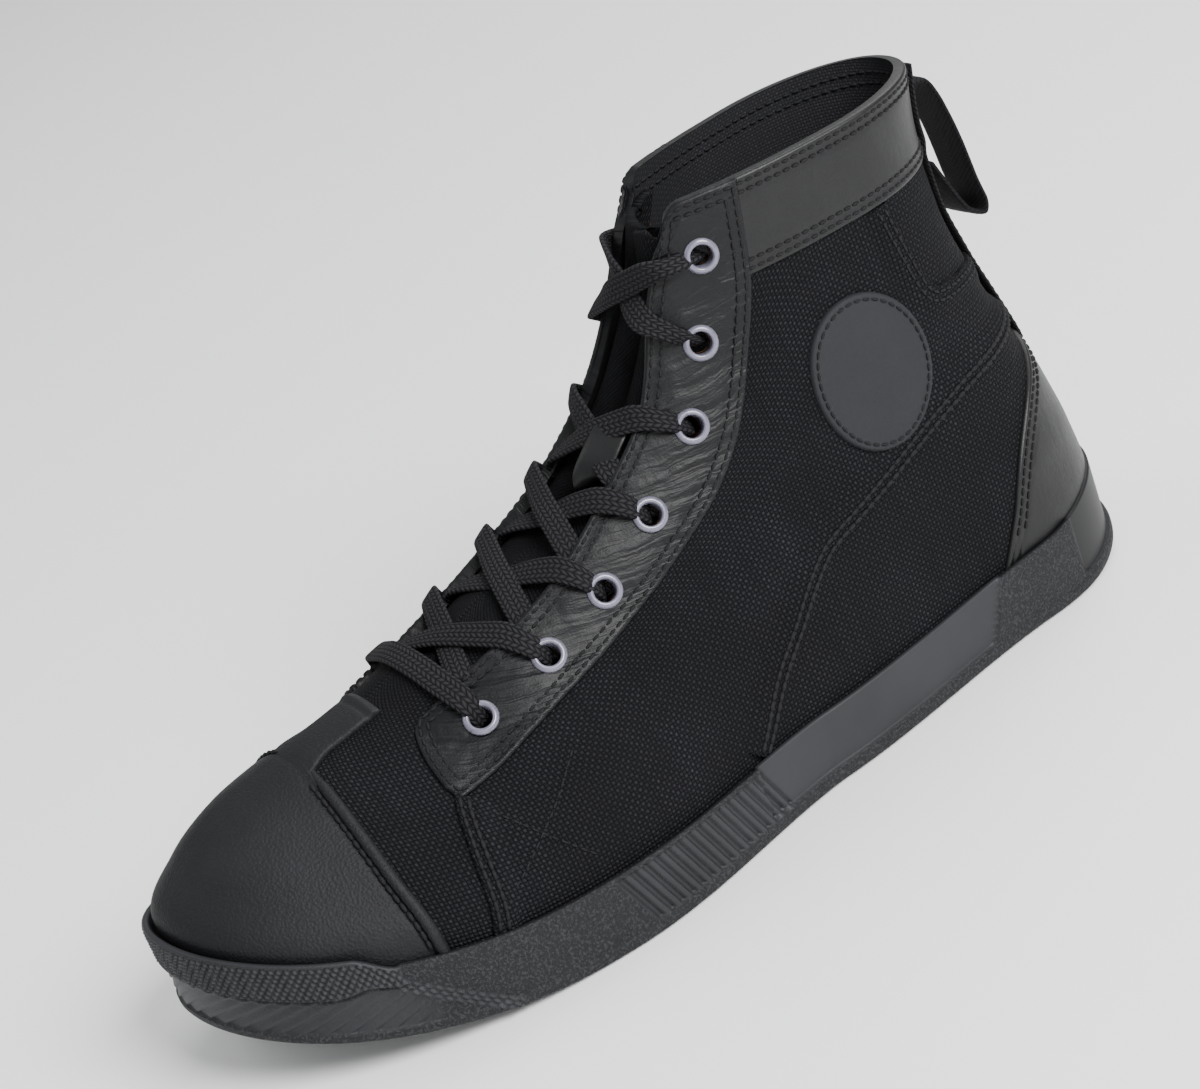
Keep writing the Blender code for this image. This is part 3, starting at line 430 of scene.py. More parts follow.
def grid_piece(name, points, uv, material, slot=None, replaced=(), flip=False, closed=False, layers=None):
    rows, columns = points.shape[:2]
    faces = grid_faces(rows, columns, closed)
    if flip:
        faces = faces[:, ::-1]
    flat_layers = {k: np.asarray(v).reshape(-1) for k, v in (layers or {}).items()}
    piece = mesh_object(name, points.reshape(-1, 3), faces, uv.reshape(-1, 2), flat_layers)
    return finish_piece(piece, material, replaced)


class Panel:
    """A sheet on the skin: rows and columns of angle and level, with rolled free edges.

    free maps an edge's name to how deep its turned-down side reaches.
    """

    def __init__(self, angle, level, base, thickness, free, roll=1.1 * MM):
        self.angle, self.level = angle, level
        points = skin(angle, level)
        across = np.linalg.norm(np.diff(points, axis=1), axis=2)
        down = np.linalg.norm(np.diff(points, axis=0), axis=2)
        left = np.concatenate([np.zeros((angle.shape[0], 1)), np.cumsum(across, axis=1)], axis=1)
        top = np.concatenate([np.zeros((1, angle.shape[1])), np.cumsum(down, axis=0)], axis=0)
        self.gaps = {"left": left, "right": left[:, -1:] - left, "top": top, "bottom": top[-1:] - top}
        self.free = free
        self.base, self.thickness = base, thickness
        self.near = np.full(angle.shape, 1.0)
        for edge in free:
            self.near = np.minimum(self.near, self.gaps[edge])
        t = 1 - np.clip(self.near / roll, 0, 1)
        self.lift = base + thickness * np.sqrt(1 - t * t)

    def groove(self, edge, distance, depth=0.28 * MM, width=0.6 * MM):
        """Sink a stitch row along an edge."""
        self.lift = self.lift - depth * np.exp(-((self.gaps[edge] - distance) / width) ** 2)

    def build(self, name, material, replaced=(), layers=None, punched=False):
        order = ("top", "bottom", "left", "right")
        sizes = [1 if edge in self.free else 0 for edge in order]
        pads = [tuple(sizes[:2]), tuple(sizes[2:])]
        angle = np.pad(self.angle, pads, mode="edge")
        level = np.pad(self.level, pads, mode="edge")
        lift = np.pad(self.lift, pads, mode="edge")
        rims = {"top": np.s_[0, :], "bottom": np.s_[-1, :], "left": np.s_[:, 0], "right": np.s_[:, -1]}
        for edge, depth in self.free.items():
            lift[rims[edge]] = -depth
        extra = {key: np.pad(value, pads, mode="edge") for key, value in (layers or {}).items()}
        points = surface(angle, level, lift)
        return skin_piece(name, points, angle, level, material, replaced, extra, punched=punched)

    def row(self, edge, distance, start=0.0, end=0.0):
        """Angles and levels of a line at one distance from an edge."""
        gap = self.gaps[edge]
        if edge in ("top", "bottom"):
            lines = [(gap[:, c], self.angle[:, c], self.level[:, c]) for c in range(gap.shape[1])]
        else:
            lines = [(gap[r], self.angle[r], self.level[r]) for r in range(gap.shape[0])]
        found = []
        for far, a, v in lines:
            if far.max() < distance:
                continue
            order = np.argsort(far)
            found.append((np.interp(distance, far[order], a[order]), np.interp(distance, far[order], v[order])))
        found = np.array(found)
        return trim_path(found[:, 0], found[:, 1], start, end)

    def stitch(self, edge, distance, start=0.0, end=0.0, kind="seam"):
        """Sink and sew one row along an edge."""
        self.groove(edge, distance)
        angle, level = self.row(edge, distance, start, end)
        sew_on_skin(kind, angle, level, self.base + self.thickness - 0.10 * MM)


def facing(points, normals):
    """True where a grid's faces look along the normals."""
    along = points[1:-1, 2:] - points[1:-1, :-2]
    down = points[2:, 1:-1] - points[:-2, 1:-1]
    return np.sum(np.cross(along, down) * normals[1:-1, 1:-1]) > 0


def in_a_hole(points):
    """True for points within a punched eyelet hole."""
    found = np.zeros(len(points), bool)
    for side in (1, -1):
        for row in range(len(EYELETS)):
            centre, axis = eyelet_frame(row, side)
            away = points - centre
            along = away @ axis
            off = np.linalg.norm(away - along[:, None] * axis, axis=1)
            found |= (off < HOLE_RADIUS) & (np.abs(along) < 8 * MM)
    return found


def skin_piece(name, points, angle, level, material, replaced=(), layers=None, inward=False, keep=None,
               punched=False):
    """Grid piece that lies on the skin, its faces turned outward."""
    rows, columns = points.shape[:2]
    faces = grid_faces(rows, columns)
    if keep is not None:
        faces = faces[keep.reshape(-1)]
    if punched:
        faces = faces[~in_a_hole(points.reshape(-1, 3)[faces].mean(axis=1))]
    if facing(points, skin_normal(angle, level)) == inward:
        faces = faces[:, ::-1]
    flat = {key: value.reshape(-1) for key, value in (layers or {}).items()}
    uv = cloth_map(angle, level).reshape(-1, 2)
    piece = mesh_object(name, points.reshape(-1, 3), faces, uv, flat)
    return finish_piece(piece, material, replaced)


SEWN = {}


def sew(kind, points, normals, pitch=2.75 * MM):
    """Note evenly spaced stitches along a line of points."""
    travel = np.concatenate([[0], np.cumsum(np.linalg.norm(np.diff(points, axis=0), axis=1))])
    count = max(1, int(round(travel[-1] / pitch)))
    at = (np.arange(count) + 0.5) * travel[-1] / count
    centre = np.stack([np.interp(at, travel, points[:, k]) for k in range(3)], 1)
    ahead = np.stack([np.interp(at + 0.4 * MM, travel, points[:, k]) for k in range(3)], 1)
    behind = np.stack([np.interp(at - 0.4 * MM, travel, points[:, k]) for k in range(3)], 1)
    up = unit(np.stack([np.interp(at, travel, normals[:, k]) for k in range(3)], 1))
    SEWN.setdefault(kind, []).append((centre, unit(ahead - behind), up))


def sew_on_skin(kind, angle, level, lift, pitch=2.75 * MM):
    sew(kind, surface(angle, level, lift), skin_normal(angle, level), pitch)


def trim_path(angle, level, start, end):
    """A line on the skin, shortened by lengths at its ends."""
    points = skin(angle, level)
    travel = np.concatenate([[0], np.cumsum(np.linalg.norm(np.diff(points, axis=0), axis=1))])
    t = np.linspace(start, travel[-1] - end, max(8, int((travel[-1] - start - end) / (1.0 * MM))))
    return np.interp(t, travel, angle), np.interp(t, travel, level)


class Number:
    """A shader socket that takes part in sums."""

    def __init__(self, look, socket):
        self.look, self.socket = look, socket

    def calc(self, operation, *others):
        return self.look.add("ShaderNodeMath", {"operation": operation}, self, *others)

    def __add__(self, other):
        return self.calc("ADD", other)

    def __radd__(self, other):
        return self.calc("ADD", other)

    def __sub__(self, other):
        return self.calc("SUBTRACT", other)

    def __rsub__(self, other):
        return self.look.add("ShaderNodeMath", {"operation": "SUBTRACT"}, other, self)

    def __mul__(self, other):
        return self.calc("MULTIPLY", other)

    def __rmul__(self, other):
        return self.calc("MULTIPLY", other)

    def __truediv__(self, other):
        return self.calc("DIVIDE", other)

    def __pow__(self, other):
        return self.calc("POWER", other)

    def sin(self):
        return self.calc("SINE")

    def abs(self):
        return self.calc("ABSOLUTE")

    def fract(self):
        return self.calc("FRACT")

    def step(self, low, high):
        """0 below low, 1 above high, soft between."""
        settings = {"interpolation_type": "SMOOTHSTEP"}
        return self.look.add("ShaderNodeMapRange", settings, self, low, high, 0.0, 1.0)


class Look:
    """A material, built node by node around one Principled BSDF."""

    def __init__(self, name, roughness=0.5, specular=0.5, coat=0.0, metallic=0.0, sheen=0.0):
        self.material = bpy.data.materials.new(name)
        self.material.use_nodes = True
        self.tree = self.material.node_tree
        self.shader = self.tree.nodes["Principled BSDF"]
        constants = {"Roughness": roughness, "Specular IOR Level": specular, "Coat Weight": coat,
                     "Metallic": metallic, "Sheen Weight": sheen, "Sheen Roughness": 0.6}
        for key, value in constants.items():
            self.shader.inputs[key].default_value = value

    def add(self, kind, settings, *values, output=0, **named):
        """A node with its settings, its sockets filled in order or by name; returns one output."""
        node = self.tree.nodes.new(kind)
        for key, value in settings.items():
            setattr(node, key, value)
        pairs = [(node.inputs[i], v) for i, v in enumerate(values)]
        pairs += [(node.inputs[key.replace("_", " ")], v) for key, v in named.items()]
        for socket, value in pairs:
            if isinstance(value, Number):
                self.tree.links.new(value.socket, socket)
            else:
                socket.default_value = value
        return Number(self, node.outputs[output])

    def place(self):
        return self.add("ShaderNodeTexCoord", {}, output="Object")

    def map(self):
        """The two coordinates of the piece's own map, in metres."""
        flat = self.add("ShaderNodeUVMap", {"uv_map": "map"})
        return [self.add("ShaderNodeSeparateXYZ", {}, flat, output=axis) for axis in "XY"]

    def value(self, name):
        return self.add("ShaderNodeAttribute", {"attribute_name": name}, output="Fac")

    def flat(self, u, v, w=0.0):
        return self.add("ShaderNodeCombineXYZ", {}, u, v, w)

    def noise(self, place, scale, detail=3.0, roughness=0.55):
        return self.add("ShaderNodeTexNoise", {}, Vector=place, Scale=scale, Detail=detail, Roughness=roughness)

    def cells(self, place, scale, feature="F1"):
        return self.add("ShaderNodeTexVoronoi", {"feature": feature}, Vector=place, Scale=scale)

    def mix(self, factor, low, high):
        """Colour between two colours."""
        settings = {"data_type": "RGBA"}
        node = self.tree.nodes.new("ShaderNodeMix")
        for key, value in settings.items():
            setattr(node, key, value)
        for index, value in ((0, factor), (6, low), (7, high)):
            if isinstance(value, Number):
                self.tree.links.new(value.socket, node.inputs[index])
            else:
                node.inputs[index].default_value = value if index == 0 else (*value, 1)
        return Number(self, node.outputs[2])

    def bump(self, height_value, distance, strength=1.0, under=None):
        named = {"Height": height_value, "Distance": distance, "Strength": strength}
        if under:
            named["Normal"] = under
        return self.add("ShaderNodeBump", {}, **named)

    def finish(self, **sockets):
        for key, value in sockets.items():
            socket = self.shader.inputs[key.replace("_", " ")]
            if isinstance(value, Number):
                self.tree.links.new(value.socket, socket)
            else:
                socket.default_value = value
        return self.material


def woven_cloth(name, pitch, dark, pale, depth, wander=0.45):
    """Plain weave: uneven threads pass over and under one another; the threads' crowns are painted light and the gaps
    between them painted dark.
    """
    look = Look(name, roughness=0.86, specular=0.08)
    u, v = look.map()
    drift = look.noise(look.flat(u, v), 210.0, 3.0) - 0.5
    sway = look.noise(look.flat(v, u, 0.4), 190.0, 3.0) - 0.5
    across = (u / pitch + drift * wander) * math.pi
    along = (v / pitch + sway * wander) * math.pi
    weave = across.sin() * along.sin()
    crown = weave.abs() ** 0.6
    over = weave.step(-0.05, 0.05)
    warp = look.noise(look.flat(across * 0.32, v * 24.0), 1.0, 2.0)
    weft = look.noise(look.flat(along * 0.32, u * 24.0, 3.0), 1.0, 2.0)
    slub = (warp * over + weft * (1 - over)).step(0.30, 0.72)
    fray = look.noise(look.place(), 1300.0, 3.0, 0.7)
    worn = look.noise(look.place(), 30.0, 4.0).step(0.35, 0.75)
    # Colour: the threads' crowns painted lighter and the gaps near black, painted shade of the weave; threads lying
    # over are painted lighter than those under, painted light; slubs, wear and fray are real tone.
    tone = crown * (0.38 + over * 0.42) * (0.45 + slub * 0.55) * (0.65 + worn * 0.45) + fray * 0.10
    return look.finish(
        Base_Color=look.mix(tone, dark, pale),
        Roughness=0.80 + worn * 0.12,
        Normal=look.bump(crown * (0.5 + slub * 0.5) + fray * 0.35, depth),
    )


def canvas():
    return woven_cloth("canvas", 1.12 * MM, (0.0010, 0.0011, 0.0013), (0.0320, 0.0324, 0.0372), 0.55 * MM)


def fine_canvas():
    return woven_cloth("fine_canvas", 0.74 * MM, (0.0010, 0.0010, 0.0012), (0.0290, 0.0292, 0.0335), 0.30 * MM)


def lining_cloth():
    return woven_cloth("lining_cloth", 0.85 * MM, (0.008, 0.008, 0.0090), (0.040, 0.0404, 0.0456), 0.15 * MM)


def leather():
    """Satin leather of the facings, drawn into soft wrinkles across them, with painted highlights streaked along the
    wrinkles.
    """
    look = Look("leather", specular=0.24)
    place = look.place()
    along, across = look.value("along"), look.value("across")
    sway = look.noise(place, 90.0, 3.0) - 0.5
    flow = look.flat(across * 0.22 + sway * 0.0012, along + sway * 0.006 + across * 0.28)
    streak = look.noise(flow, 330.0, 4.0, 0.55)
    wide = look.noise(flow, 140.0, 3.0, 0.5)
    grain = look.cells(place, 1700.0)
    # Mask of the more wrinkled spots: deeper streaks there, and the painted highlights.
    where = look.noise(place, 60.0, 3.0).step(0.24, 0.60)
    # Painted highlight: the brightest wrinkle streaks are lightened into the base colour.
    painted_glint = streak.step(0.55, 0.80) * where
    height_value = wide * 1.0 + streak * 0.42 * (0.2 + where) + grain * 0.03
    return look.finish(
        # Base colour: painted highlight streaks, plus tone that follows the wide folds.
        Base_Color=look.mix(painted_glint * 0.8 + wide * 0.2, (0.0016, 0.0018, 0.0022), (0.0135, 0.0143, 0.0172)),
        Roughness=0.40 + streak * 0.12,
        Normal=look.bump(height_value, 1.15 * MM),
    )


def smooth_leather():
    """Plain satin leather of the counter and the cuff, with soft pulls."""
    look = Look("smooth_leather", specular=0.33)
    place = look.place()
    u, v = look.map()
    fold = look.noise(place, 45.0, 4.0, 0.55)
    pull = look.noise(look.flat(u * 1.6, v * 0.5), 110.0, 4.0, 0.55)
    grain = look.cells(place, 1900.0)
    fine = look.noise(place, 700.0, 3.0)
    tone = fold * 0.6 + pull.step(0.45, 0.75) * 0.4
    return look.finish(
        Base_Color=look.mix(tone, (0.0018, 0.0019, 0.0022), (0.0062, 0.0064, 0.0073)),
        Roughness=0.38 + fine * 0.14,
        Normal=look.bump(fold * 0.7 + pull * 0.45 + grain * 0.06 + fine * 0.08, 0.38 * MM),
    )


def cap_rubber():
    """Matte moulded skin with a fine pebbled grain."""
    look = Look("cap_rubber", specular=0.24)
    place = look.place()
    pebble = look.cells(place, 1350.0, "SMOOTH_F1")
    fine = look.noise(place, 2400.0, 2.0)
    wear = look.noise(place, 42.0, 4.0)
    plain = look.value("plain")
    height_value = (fine * 0.5 - pebble.step(0.05, 0.7)) * (1 - plain * 0.8)
    tone = wear.step(0.3, 0.8) * 0.45 + fine * 0.35 + (1 - pebble) * 0.2
    return look.finish(
        Base_Color=look.mix(tone, (0.0030, 0.0031, 0.0037), (0.0115, 0.0119, 0.0140)),
        Roughness=0.58 + fine * 0.12 - plain * 0.10,
        Normal=look.bump(height_value, 0.11 * MM),
    )


def sole_rubber():
    """Matte rubber, sandy where the mould was blasted and smooth in its panels, with painted light on its raised relief
    and painted shade in its sunken heel panel.
    """
    look = Look("sole_rubber", specular=0.26)
    place = look.place()
    sand = look.value("sand")
    painted_relief_light = look.value("painted_relief_light")
    grit = look.noise(place, 1350.0, 2.0, 0.7)
    speck = grit.step(0.48, 0.64) * sand
    wear = look.noise(place, 26.0, 5.0)
    scuff = look.noise(place, 160.0, 5.0, 0.7).step(0.60, 0.78)
    # The colour adds painted light on the knurl's crests and the patch's dots, and painted shade between the knurls and
    # in the sunken heel panel.
    tone = (wear.step(0.3, 0.75) * 0.3 + 0.42) * (1 - sand * 0.75) + speck * 0.75 + scuff * 0.12 + painted_relief_light
    return look.finish(
        Base_Color=look.mix(tone, (0.0045, 0.0047, 0.0053), (0.028, 0.0288, 0.0322)),
        Roughness=0.50 + sand * 0.20 + scuff * 0.06,
        Normal=look.bump(grit * (sand * 1.3 + 0.06), 0.34 * MM),
    )


def badge_rubber():
    """Bare matte patch with a fine dusty grain."""
    look = Look("badge_rubber", roughness=0.72, specular=0.25)
    place = look.place()
    nap = look.noise(place, 900.0, 4.0, 0.7)
    cloud = look.noise(place, 60.0, 3.0)
    return look.finish(
        Base_Color=look.mix(nap * 0.5 + cloud * 0.5, (0.0085, 0.0087, 0.0102), (0.0185, 0.0190, 0.0218)),
        Normal=look.bump(nap, 0.12 * MM),
    )


def lace_braid():
    """Flat tubular braid: two families of slanted plaits, their crowns painted light and the grooves between them
    painted dark.
    """
    look = Look("lace_braid", roughness=0.82, specular=0.12)
    u, v = look.map()
    pitch = 1.9 * MM
    side = (v / (1.3 * MM) * math.pi).sin()
    slant = side.step(-0.1, 0.1) * 2 - 1
    one = ((u + v * slant * 0.9) / pitch * math.pi).sin().abs()
    rib = side.abs()
    fibre = look.noise(look.flat(u * 3, v), 900.0, 3.0)
    crown = one ** 0.7 * rib ** 0.5
    worn = look.noise(look.place(), 50.0, 3.0)
    return look.finish(
        # Base colour: the plaits' crowns painted lighter and the grooves between them darker, painted highlight and
        # shade of the braid; worn and fibre are real tone.
        Base_Color=look.mix(crown * (0.55 + worn * 0.4) + fibre * 0.12, (0.0003, 0.0003, 0.0004), (0.0270, 0.0266, 0.0300)),
        Normal=look.bump(crown + fibre * 0.18, 0.42 * MM),
    )


def chevron_webbing():
    """Woven strap with chevrons down its middle, their crowns painted light and their grooves painted dark."""
    look = Look("chevron_webbing", roughness=0.8, specular=0.14)
    u, v = look.map()
    chevron = ((u + v.abs() * 0.9) / (1.5 * MM) * math.pi).sin().abs() ** 0.6
    strand = (v / (0.75 * MM) * math.pi).sin().abs() ** 0.5
    fibre = look.noise(look.flat(u, v * 3), 1000.0, 3.0)
    crown = chevron * strand
    return look.finish(
        # Base colour: the chevrons' crowns painted lighter and the grooves between the strands darker, painted shade of
        # the weave; fibre is real tone.
        Base_Color=look.mix(crown * 0.8 + fibre * 0.15, (0.0005, 0.0005, 0.0006), (0.0150, 0.0150, 0.0170)),
        Normal=look.bump(crown + fibre * 0.15, 0.28 * MM),
    )


def enamel():
    """Lilac-grey lacquer of the eyelets, chipped here and there."""
    look = Look("enamel", specular=0.5, coat=0.25)
    place = look.place()
    wear = look.noise(place, 420.0, 4.0, 0.6).step(0.56, 0.72)
    cloud = look.noise(place, 90.0, 3.0)
    return look.finish(
        Base_Color=look.mix(wear * 0.55 + cloud * 0.2, (0.160, 0.155, 0.205), (0.085, 0.080, 0.105)),
        Roughness=0.30 + wear * 0.25,
        Metallic=0.25 + wear * 0.3,
        Normal=look.bump(cloud + wear * -0.3, 0.06 * MM),
    )


def brass():
    look = Look("brass", metallic=1.0)
    place = look.place()
    tarnish = look.noise(place, 260.0, 4.0)
    return look.finish(
        Base_Color=look.mix(tarnish, (0.40, 0.17, 0.085), (0.62, 0.33, 0.16)),
        Roughness=0.34 + tarnish * 0.2,
        Normal=look.bump(tarnish, 0.05 * MM),
    )


def thread():
    look = Look("thread", roughness=0.72, specular=0.2)
    twist = look.noise(look.place(), 1800.0, 2.0)
    return look.finish(
        Base_Color=look.mix(twist, (0.0012, 0.0012, 0.0014), (0.0130, 0.0132, 0.0150)),
        Normal=look.bump(twist, 0.10 * MM),
    )


def sock_foam():
    look = Look("sock_foam", roughness=0.92, specular=0.3)
    place = look.place()
    nap = look.noise(place, 1200.0, 3.0, 0.7)
    return look.finish(
        Base_Color=look.mix(nap, (0.006, 0.006, 0.0065), (0.020, 0.020, 0.021)),
        Normal=look.bump(nap, 0.15 * MM),
    )


def upper_grid(side_count, front_count, levels):
    """Angles and levels of the upper's mesh, and the cells outside the open throat."""
    index = np.arange(-side_count - front_count, side_count + front_count + 1)
    size = np.abs(index)[None, :]
    t = np.clip((size - side_count) / front_count, 0, 1)
    edge = np.where(index[None, :] < 0, throat_angle(levels, -1)[:, None], throat_angle(levels)[:, None])
    angle = np.where(size <= side_count, edge * size / side_count, edge + (math.pi - edge) * t)
    angle = angle * np.where(index < 0, -1, 1)
    share = np.clip((levels - 0.5) / 0.5, 0, 1)[:, None]
    level = levels[:, None] + THROAT_RISE * (1 - (1 - t) ** 2) * share ** 2
    high = (levels[1:] > 1.0001)[:, None]
    middle = (np.abs(index[:-1] + 0.5) > side_count)[None, :]
    return angle, level, ~(high & middle)


def upper_levels(low, count):
    below = np.linspace(low, 1.0, count)
    above = np.linspace(1.0, 2.0, count)[1:]
    return np.concatenate([below, above])


def seam_place(table, level):
    return smooth_curve(table[:, 1], table[:, 0], level)


def build_upper(looks):
    """Cloth of vamp and quarters, one canvas piece that also covers the heel and ankle."""
    angle, level, keep = upper_grid(150, 26, upper_levels(0.2, 70))
    place = place_of(angle, level)
    points = surface(angle, level, 0 * level)
    skin_piece("upper_cloth", points, angle, level, looks["canvas"], ("upper",), keep=keep, punched=True)


def build_lining(looks):
    angle, level, keep = upper_grid(80, 14, upper_levels(0.17, 40))
    points = surface(angle, level, 0 * level - UPPER_WALL)
    skin_piece("upper_lining", points, angle, level, looks["lining"], inward=True, keep=keep,
               punched=True)
    for distance in (4.0, 7.0):
        rim = float(level_at(SHAFT_HEIGHT - distance * MM))
        turn = np.linspace(0.05 - float(throat_angle(2.0, -1)), float(throat_angle(2.0)) - 0.05, 200)
        lift = -UPPER_WALL - 0.1 * MM
        sew("seam", surface(turn, turn * 0 + rim, turn * 0 + lift), -skin_normal(turn, turn * 0 + rim))


def stay_grid(side):
    """Angles and levels between the throat edge and the outer edge of an eyestay."""
    inner_table = np.concatenate([THROAT[::-1], STAY_FRONT[::-1][1:4]])
    if side < 0:
        inner_table[:, 0] -= inner_set_back(inner_table[:, 1])
    rows = stops(150, 215 * MM, 1.1 * MM)
    columns = stops(16, 22 * MM, 1.1 * MM)
    inner = curve_through(inner_table, rows)
    outer = curve_through(STAY_EDGE, rows)
    if side < 0:
        outer[:, 0] -= 0.8 * inner_set_back(outer[:, 1])
    front = np.concatenate([STAY_FRONT[::-1][3:], STAY_EDGE[-1:]])
    bulge = curve_through(front, columns)
    straight = inner[-1] + (outer[-1] - inner[-1]) * columns[:, None]
    pull = smooth_step(0.86, 1.0, rows)[:, None, None]
    grid = inner[:, None] + (outer - inner)[:, None] * columns[None, :, None] + pull * (bulge - straight)
    return side * angle_at(grid[..., 0], grid[..., 1]), grid[..., 1]


def build_eyestays(looks):
    """Wrinkled leather facings that carry the eyelets."""
    for side, name in ((1, "lateral"), (-1, "medial")):
        angle, level = stay_grid(side)
        free = {"top": UPPER_WALL + 0.2 * MM, "bottom": 0.4 * MM, "left": UPPER_WALL + 0.2 * MM, "right": 0.4 * MM}
        panel = Panel(angle, level, 0.35 * MM, OVERLAY - 0.35 * MM, free)
        layers = {"along": panel.gaps["top"], "across": panel.gaps["left"]}
        for distance in (1.8 * MM, 4.2 * MM):
            panel.stitch("right", distance, distance, distance)
            panel.stitch("left", distance, distance, distance)
            panel.stitch("bottom", distance, distance, distance)
            panel.stitch("top", distance, distance, distance)
        wrinkle(panel, 31 + side)
        panel.build("eyestay_" + name + "_leather", looks["leather"], ("eyestay_" + name,), layers, punched=True)


def wrinkle(panel, seed):
    """Long shallow folds across a leather sheet."""
    points = skin(panel.angle, panel.level)
    chance = np.random.default_rng(seed)
    waves = np.zeros(panel.angle.shape)
    for _ in range(26):
        turn = chance.uniform(0, 2 * math.pi)
        pitch = chance.uniform(9, 26) * MM
        tilt = chance.normal(0, 0.35)
        y = points[..., 1] * math.cos(tilt) + points[..., 2] * math.sin(tilt)
        waves += np.sin(y * 2 * math.pi / pitch + turn + 3 * np.sin(points[..., 2] * 90 + turn)) * pitch
    hold = smooth_step(0, 5 * MM, panel.near)
    panel.lift = panel.lift + waves / np.abs(waves).max() * 0.28 * MM * (0.25 + 0.75 * hold)


def build_cuff(looks):
    """Leather band round the back of the collar, its ends under the eyestays."""
    levels = CUFF_LEVEL + (2.0 - CUFF_LEVEL) * stops(18, 25.5 * MM, 1.1 * MM)
    end = angle_at(seam_place(STAY_EDGE, levels) + 0.012, levels)
    turn = np.linspace(-1, 1, 170)
    angle = end[:, None] * turn[None, :]
    level = np.repeat(levels[:, None], len(turn), axis=1)
    free = {"top": 0.4 * MM, "bottom": UPPER_WALL + 0.2 * MM}
    panel = Panel(angle, level, 0.0, 1.1 * MM, free)
    for edge in ("top", "bottom"):
        for distance in (1.9 * MM, 4.2 * MM):
            panel.stitch(edge, distance)
    panel.build("collar_leather", looks["smooth_leather"], ("collar_cuff",))


def across_seam(table, count, closed_at):
    """Angles and levels of a seam carried over the middle: from the outer side to the inner."""
    turn = np.linspace(1, -1, count)
    rows = curve_through(table, 1 - np.abs(turn)) if closed_at == "last" else None
    angle = angle_at(rows[:, 0], rows[:, 1])
    return turn, angle, rows[:, 1]


def build_counter(looks):
    """Satin heel counter, its lower edge inside the sole."""
    turn, angle, level = across_seam(COUNTER_EDGE[::-1], 220, "last")
    top_angle = np.where(turn >= 0, angle, -angle)
    low_level = COUNTER_EDGE[-1, 1] - 0.02
    low_angle = turn * angle_at(COUNTER_EDGE[-1, 0], low_level)
    rows = stops(34, 50 * MM, 1.1 * MM, last=False)[:, None]
    grid_angle = top_angle + (low_angle - top_angle) * rows
    grid_level = level + (low_level - level) * rows
    panel = Panel(grid_angle, grid_level, 0.0, 1.3 * MM, {"top": 0.4 * MM})
    for distance in (2.0 * MM, 4.4 * MM):
        panel.stitch("top", distance, 12 * MM, 12 * MM)
    panel.build("heel_counter_leather", looks["smooth_leather"], ("heel_counter",))


def build_toe_cap(looks):
    """Pebbled cap over the toes, its lower edge inside the sole."""
    turn, angle, level = across_seam(CAP_EDGE, 240, "last")
    top_angle = np.where(turn >= 0, angle, 2 * math.pi - angle)
    low_level = CAP_EDGE[0, 1]
    low_turn = math.pi - angle_at(CAP_EDGE[0, 0], low_level)
    low_angle = math.pi - turn * low_turn
    rows = stops(64, 75 * MM, 1.1 * MM, last=False)[:, None]
    grid_angle = top_angle + (low_angle - top_angle) * rows
    grid_level = level + (low_level - level) * rows
    panel = Panel(grid_angle, grid_level, 0.0, 1.3 * MM, {"top": 0.4 * MM})
    skip = TAB_HALF + 1.5 * MM
    for half in (0, 1):
        panel_line = panel.row("top", 2.3 * MM)
        middle = len(panel_line[0]) // 2
        path = [line[:middle] if half == 0 else line[middle:][::-1] for line in panel_line]
        sew_on_skin("rope", *trim_path(path[0], path[1], 4 * MM, skip), 1.25 * MM, 2.9 * MM)
    panel.groove("top", 2.3 * MM, 0.75 * MM, 0.85 * MM)
    plain = np.zeros(grid_angle.shape)
    panel.build("toe_cap_skin", looks["cap"], ("toe_cap",), layers={"plain": plain})


def ridge_level(place, off_centre, side_sign):
    """Level where the top of the last stands at a place, off the centre line."""
    low = np.full(place.shape, 0.35)
    high = smooth_curve(SLICES[::-1, 2], SLICES[::-1, 0], place)
    for _ in range(40):
        middle = (low + high) / 2
        wide = np.abs(skin(side_sign * angle_at(place, middle), middle)[..., 0] - centre_line(place))
        inside = wide > np.abs(off_centre)
        low = np.where(inside, middle, low)
        high = np.where(inside, high, middle)
    return low


def top_grid(places, offsets, flare=1.0):
    """Angles and levels over the foot's top, by place and distance from the centre line."""
    place, off = np.meshgrid(places, offsets, indexing="ij")
    off = off * np.broadcast_to(flare, places.shape)[:, None] + TAB_SHIFT
    sign = np.where(off >= 0, 1, -1)
    level = ridge_level(place, off, sign)
    angle = angle_at(place, level)
    return np.where(sign > 0, angle, 2 * math.pi - angle), level


def build_cap_tab(looks):
    """Smooth tongue of the cap that runs back to the laces."""
    rows = stops(50, 28 * MM, 1.0 * MM, first=False)
    places = 0.842 + (TAB_BACK - 0.842) * rows
    offsets = (stops(20, 2 * TAB_HALF, 1.0 * MM) - 0.5) * 2 * TAB_HALF
    flare = 1 + 0.35 * smooth_step(0.800, 0.835, places)
    angle, level = top_grid(places, offsets, flare)
    panel = Panel(angle, level, 0.35 * MM, 1.05 * MM, {"bottom": 0.4 * MM, "left": 0.4 * MM, "right": 0.4 * MM})
    panel.lift = panel.lift - 0.65 * MM * smooth_step(0.820, 0.842, places)[:, None]
    panel.groove("bottom", 1.9 * MM, -0.5 * MM, 0.8 * MM)
    panel.groove("bottom", 3.6 * MM, 0.4 * MM, 0.6 * MM)
    panel.build("cap_tab_skin", looks["cap"], layers={"plain": 0.3 * np.ones(angle.shape)})


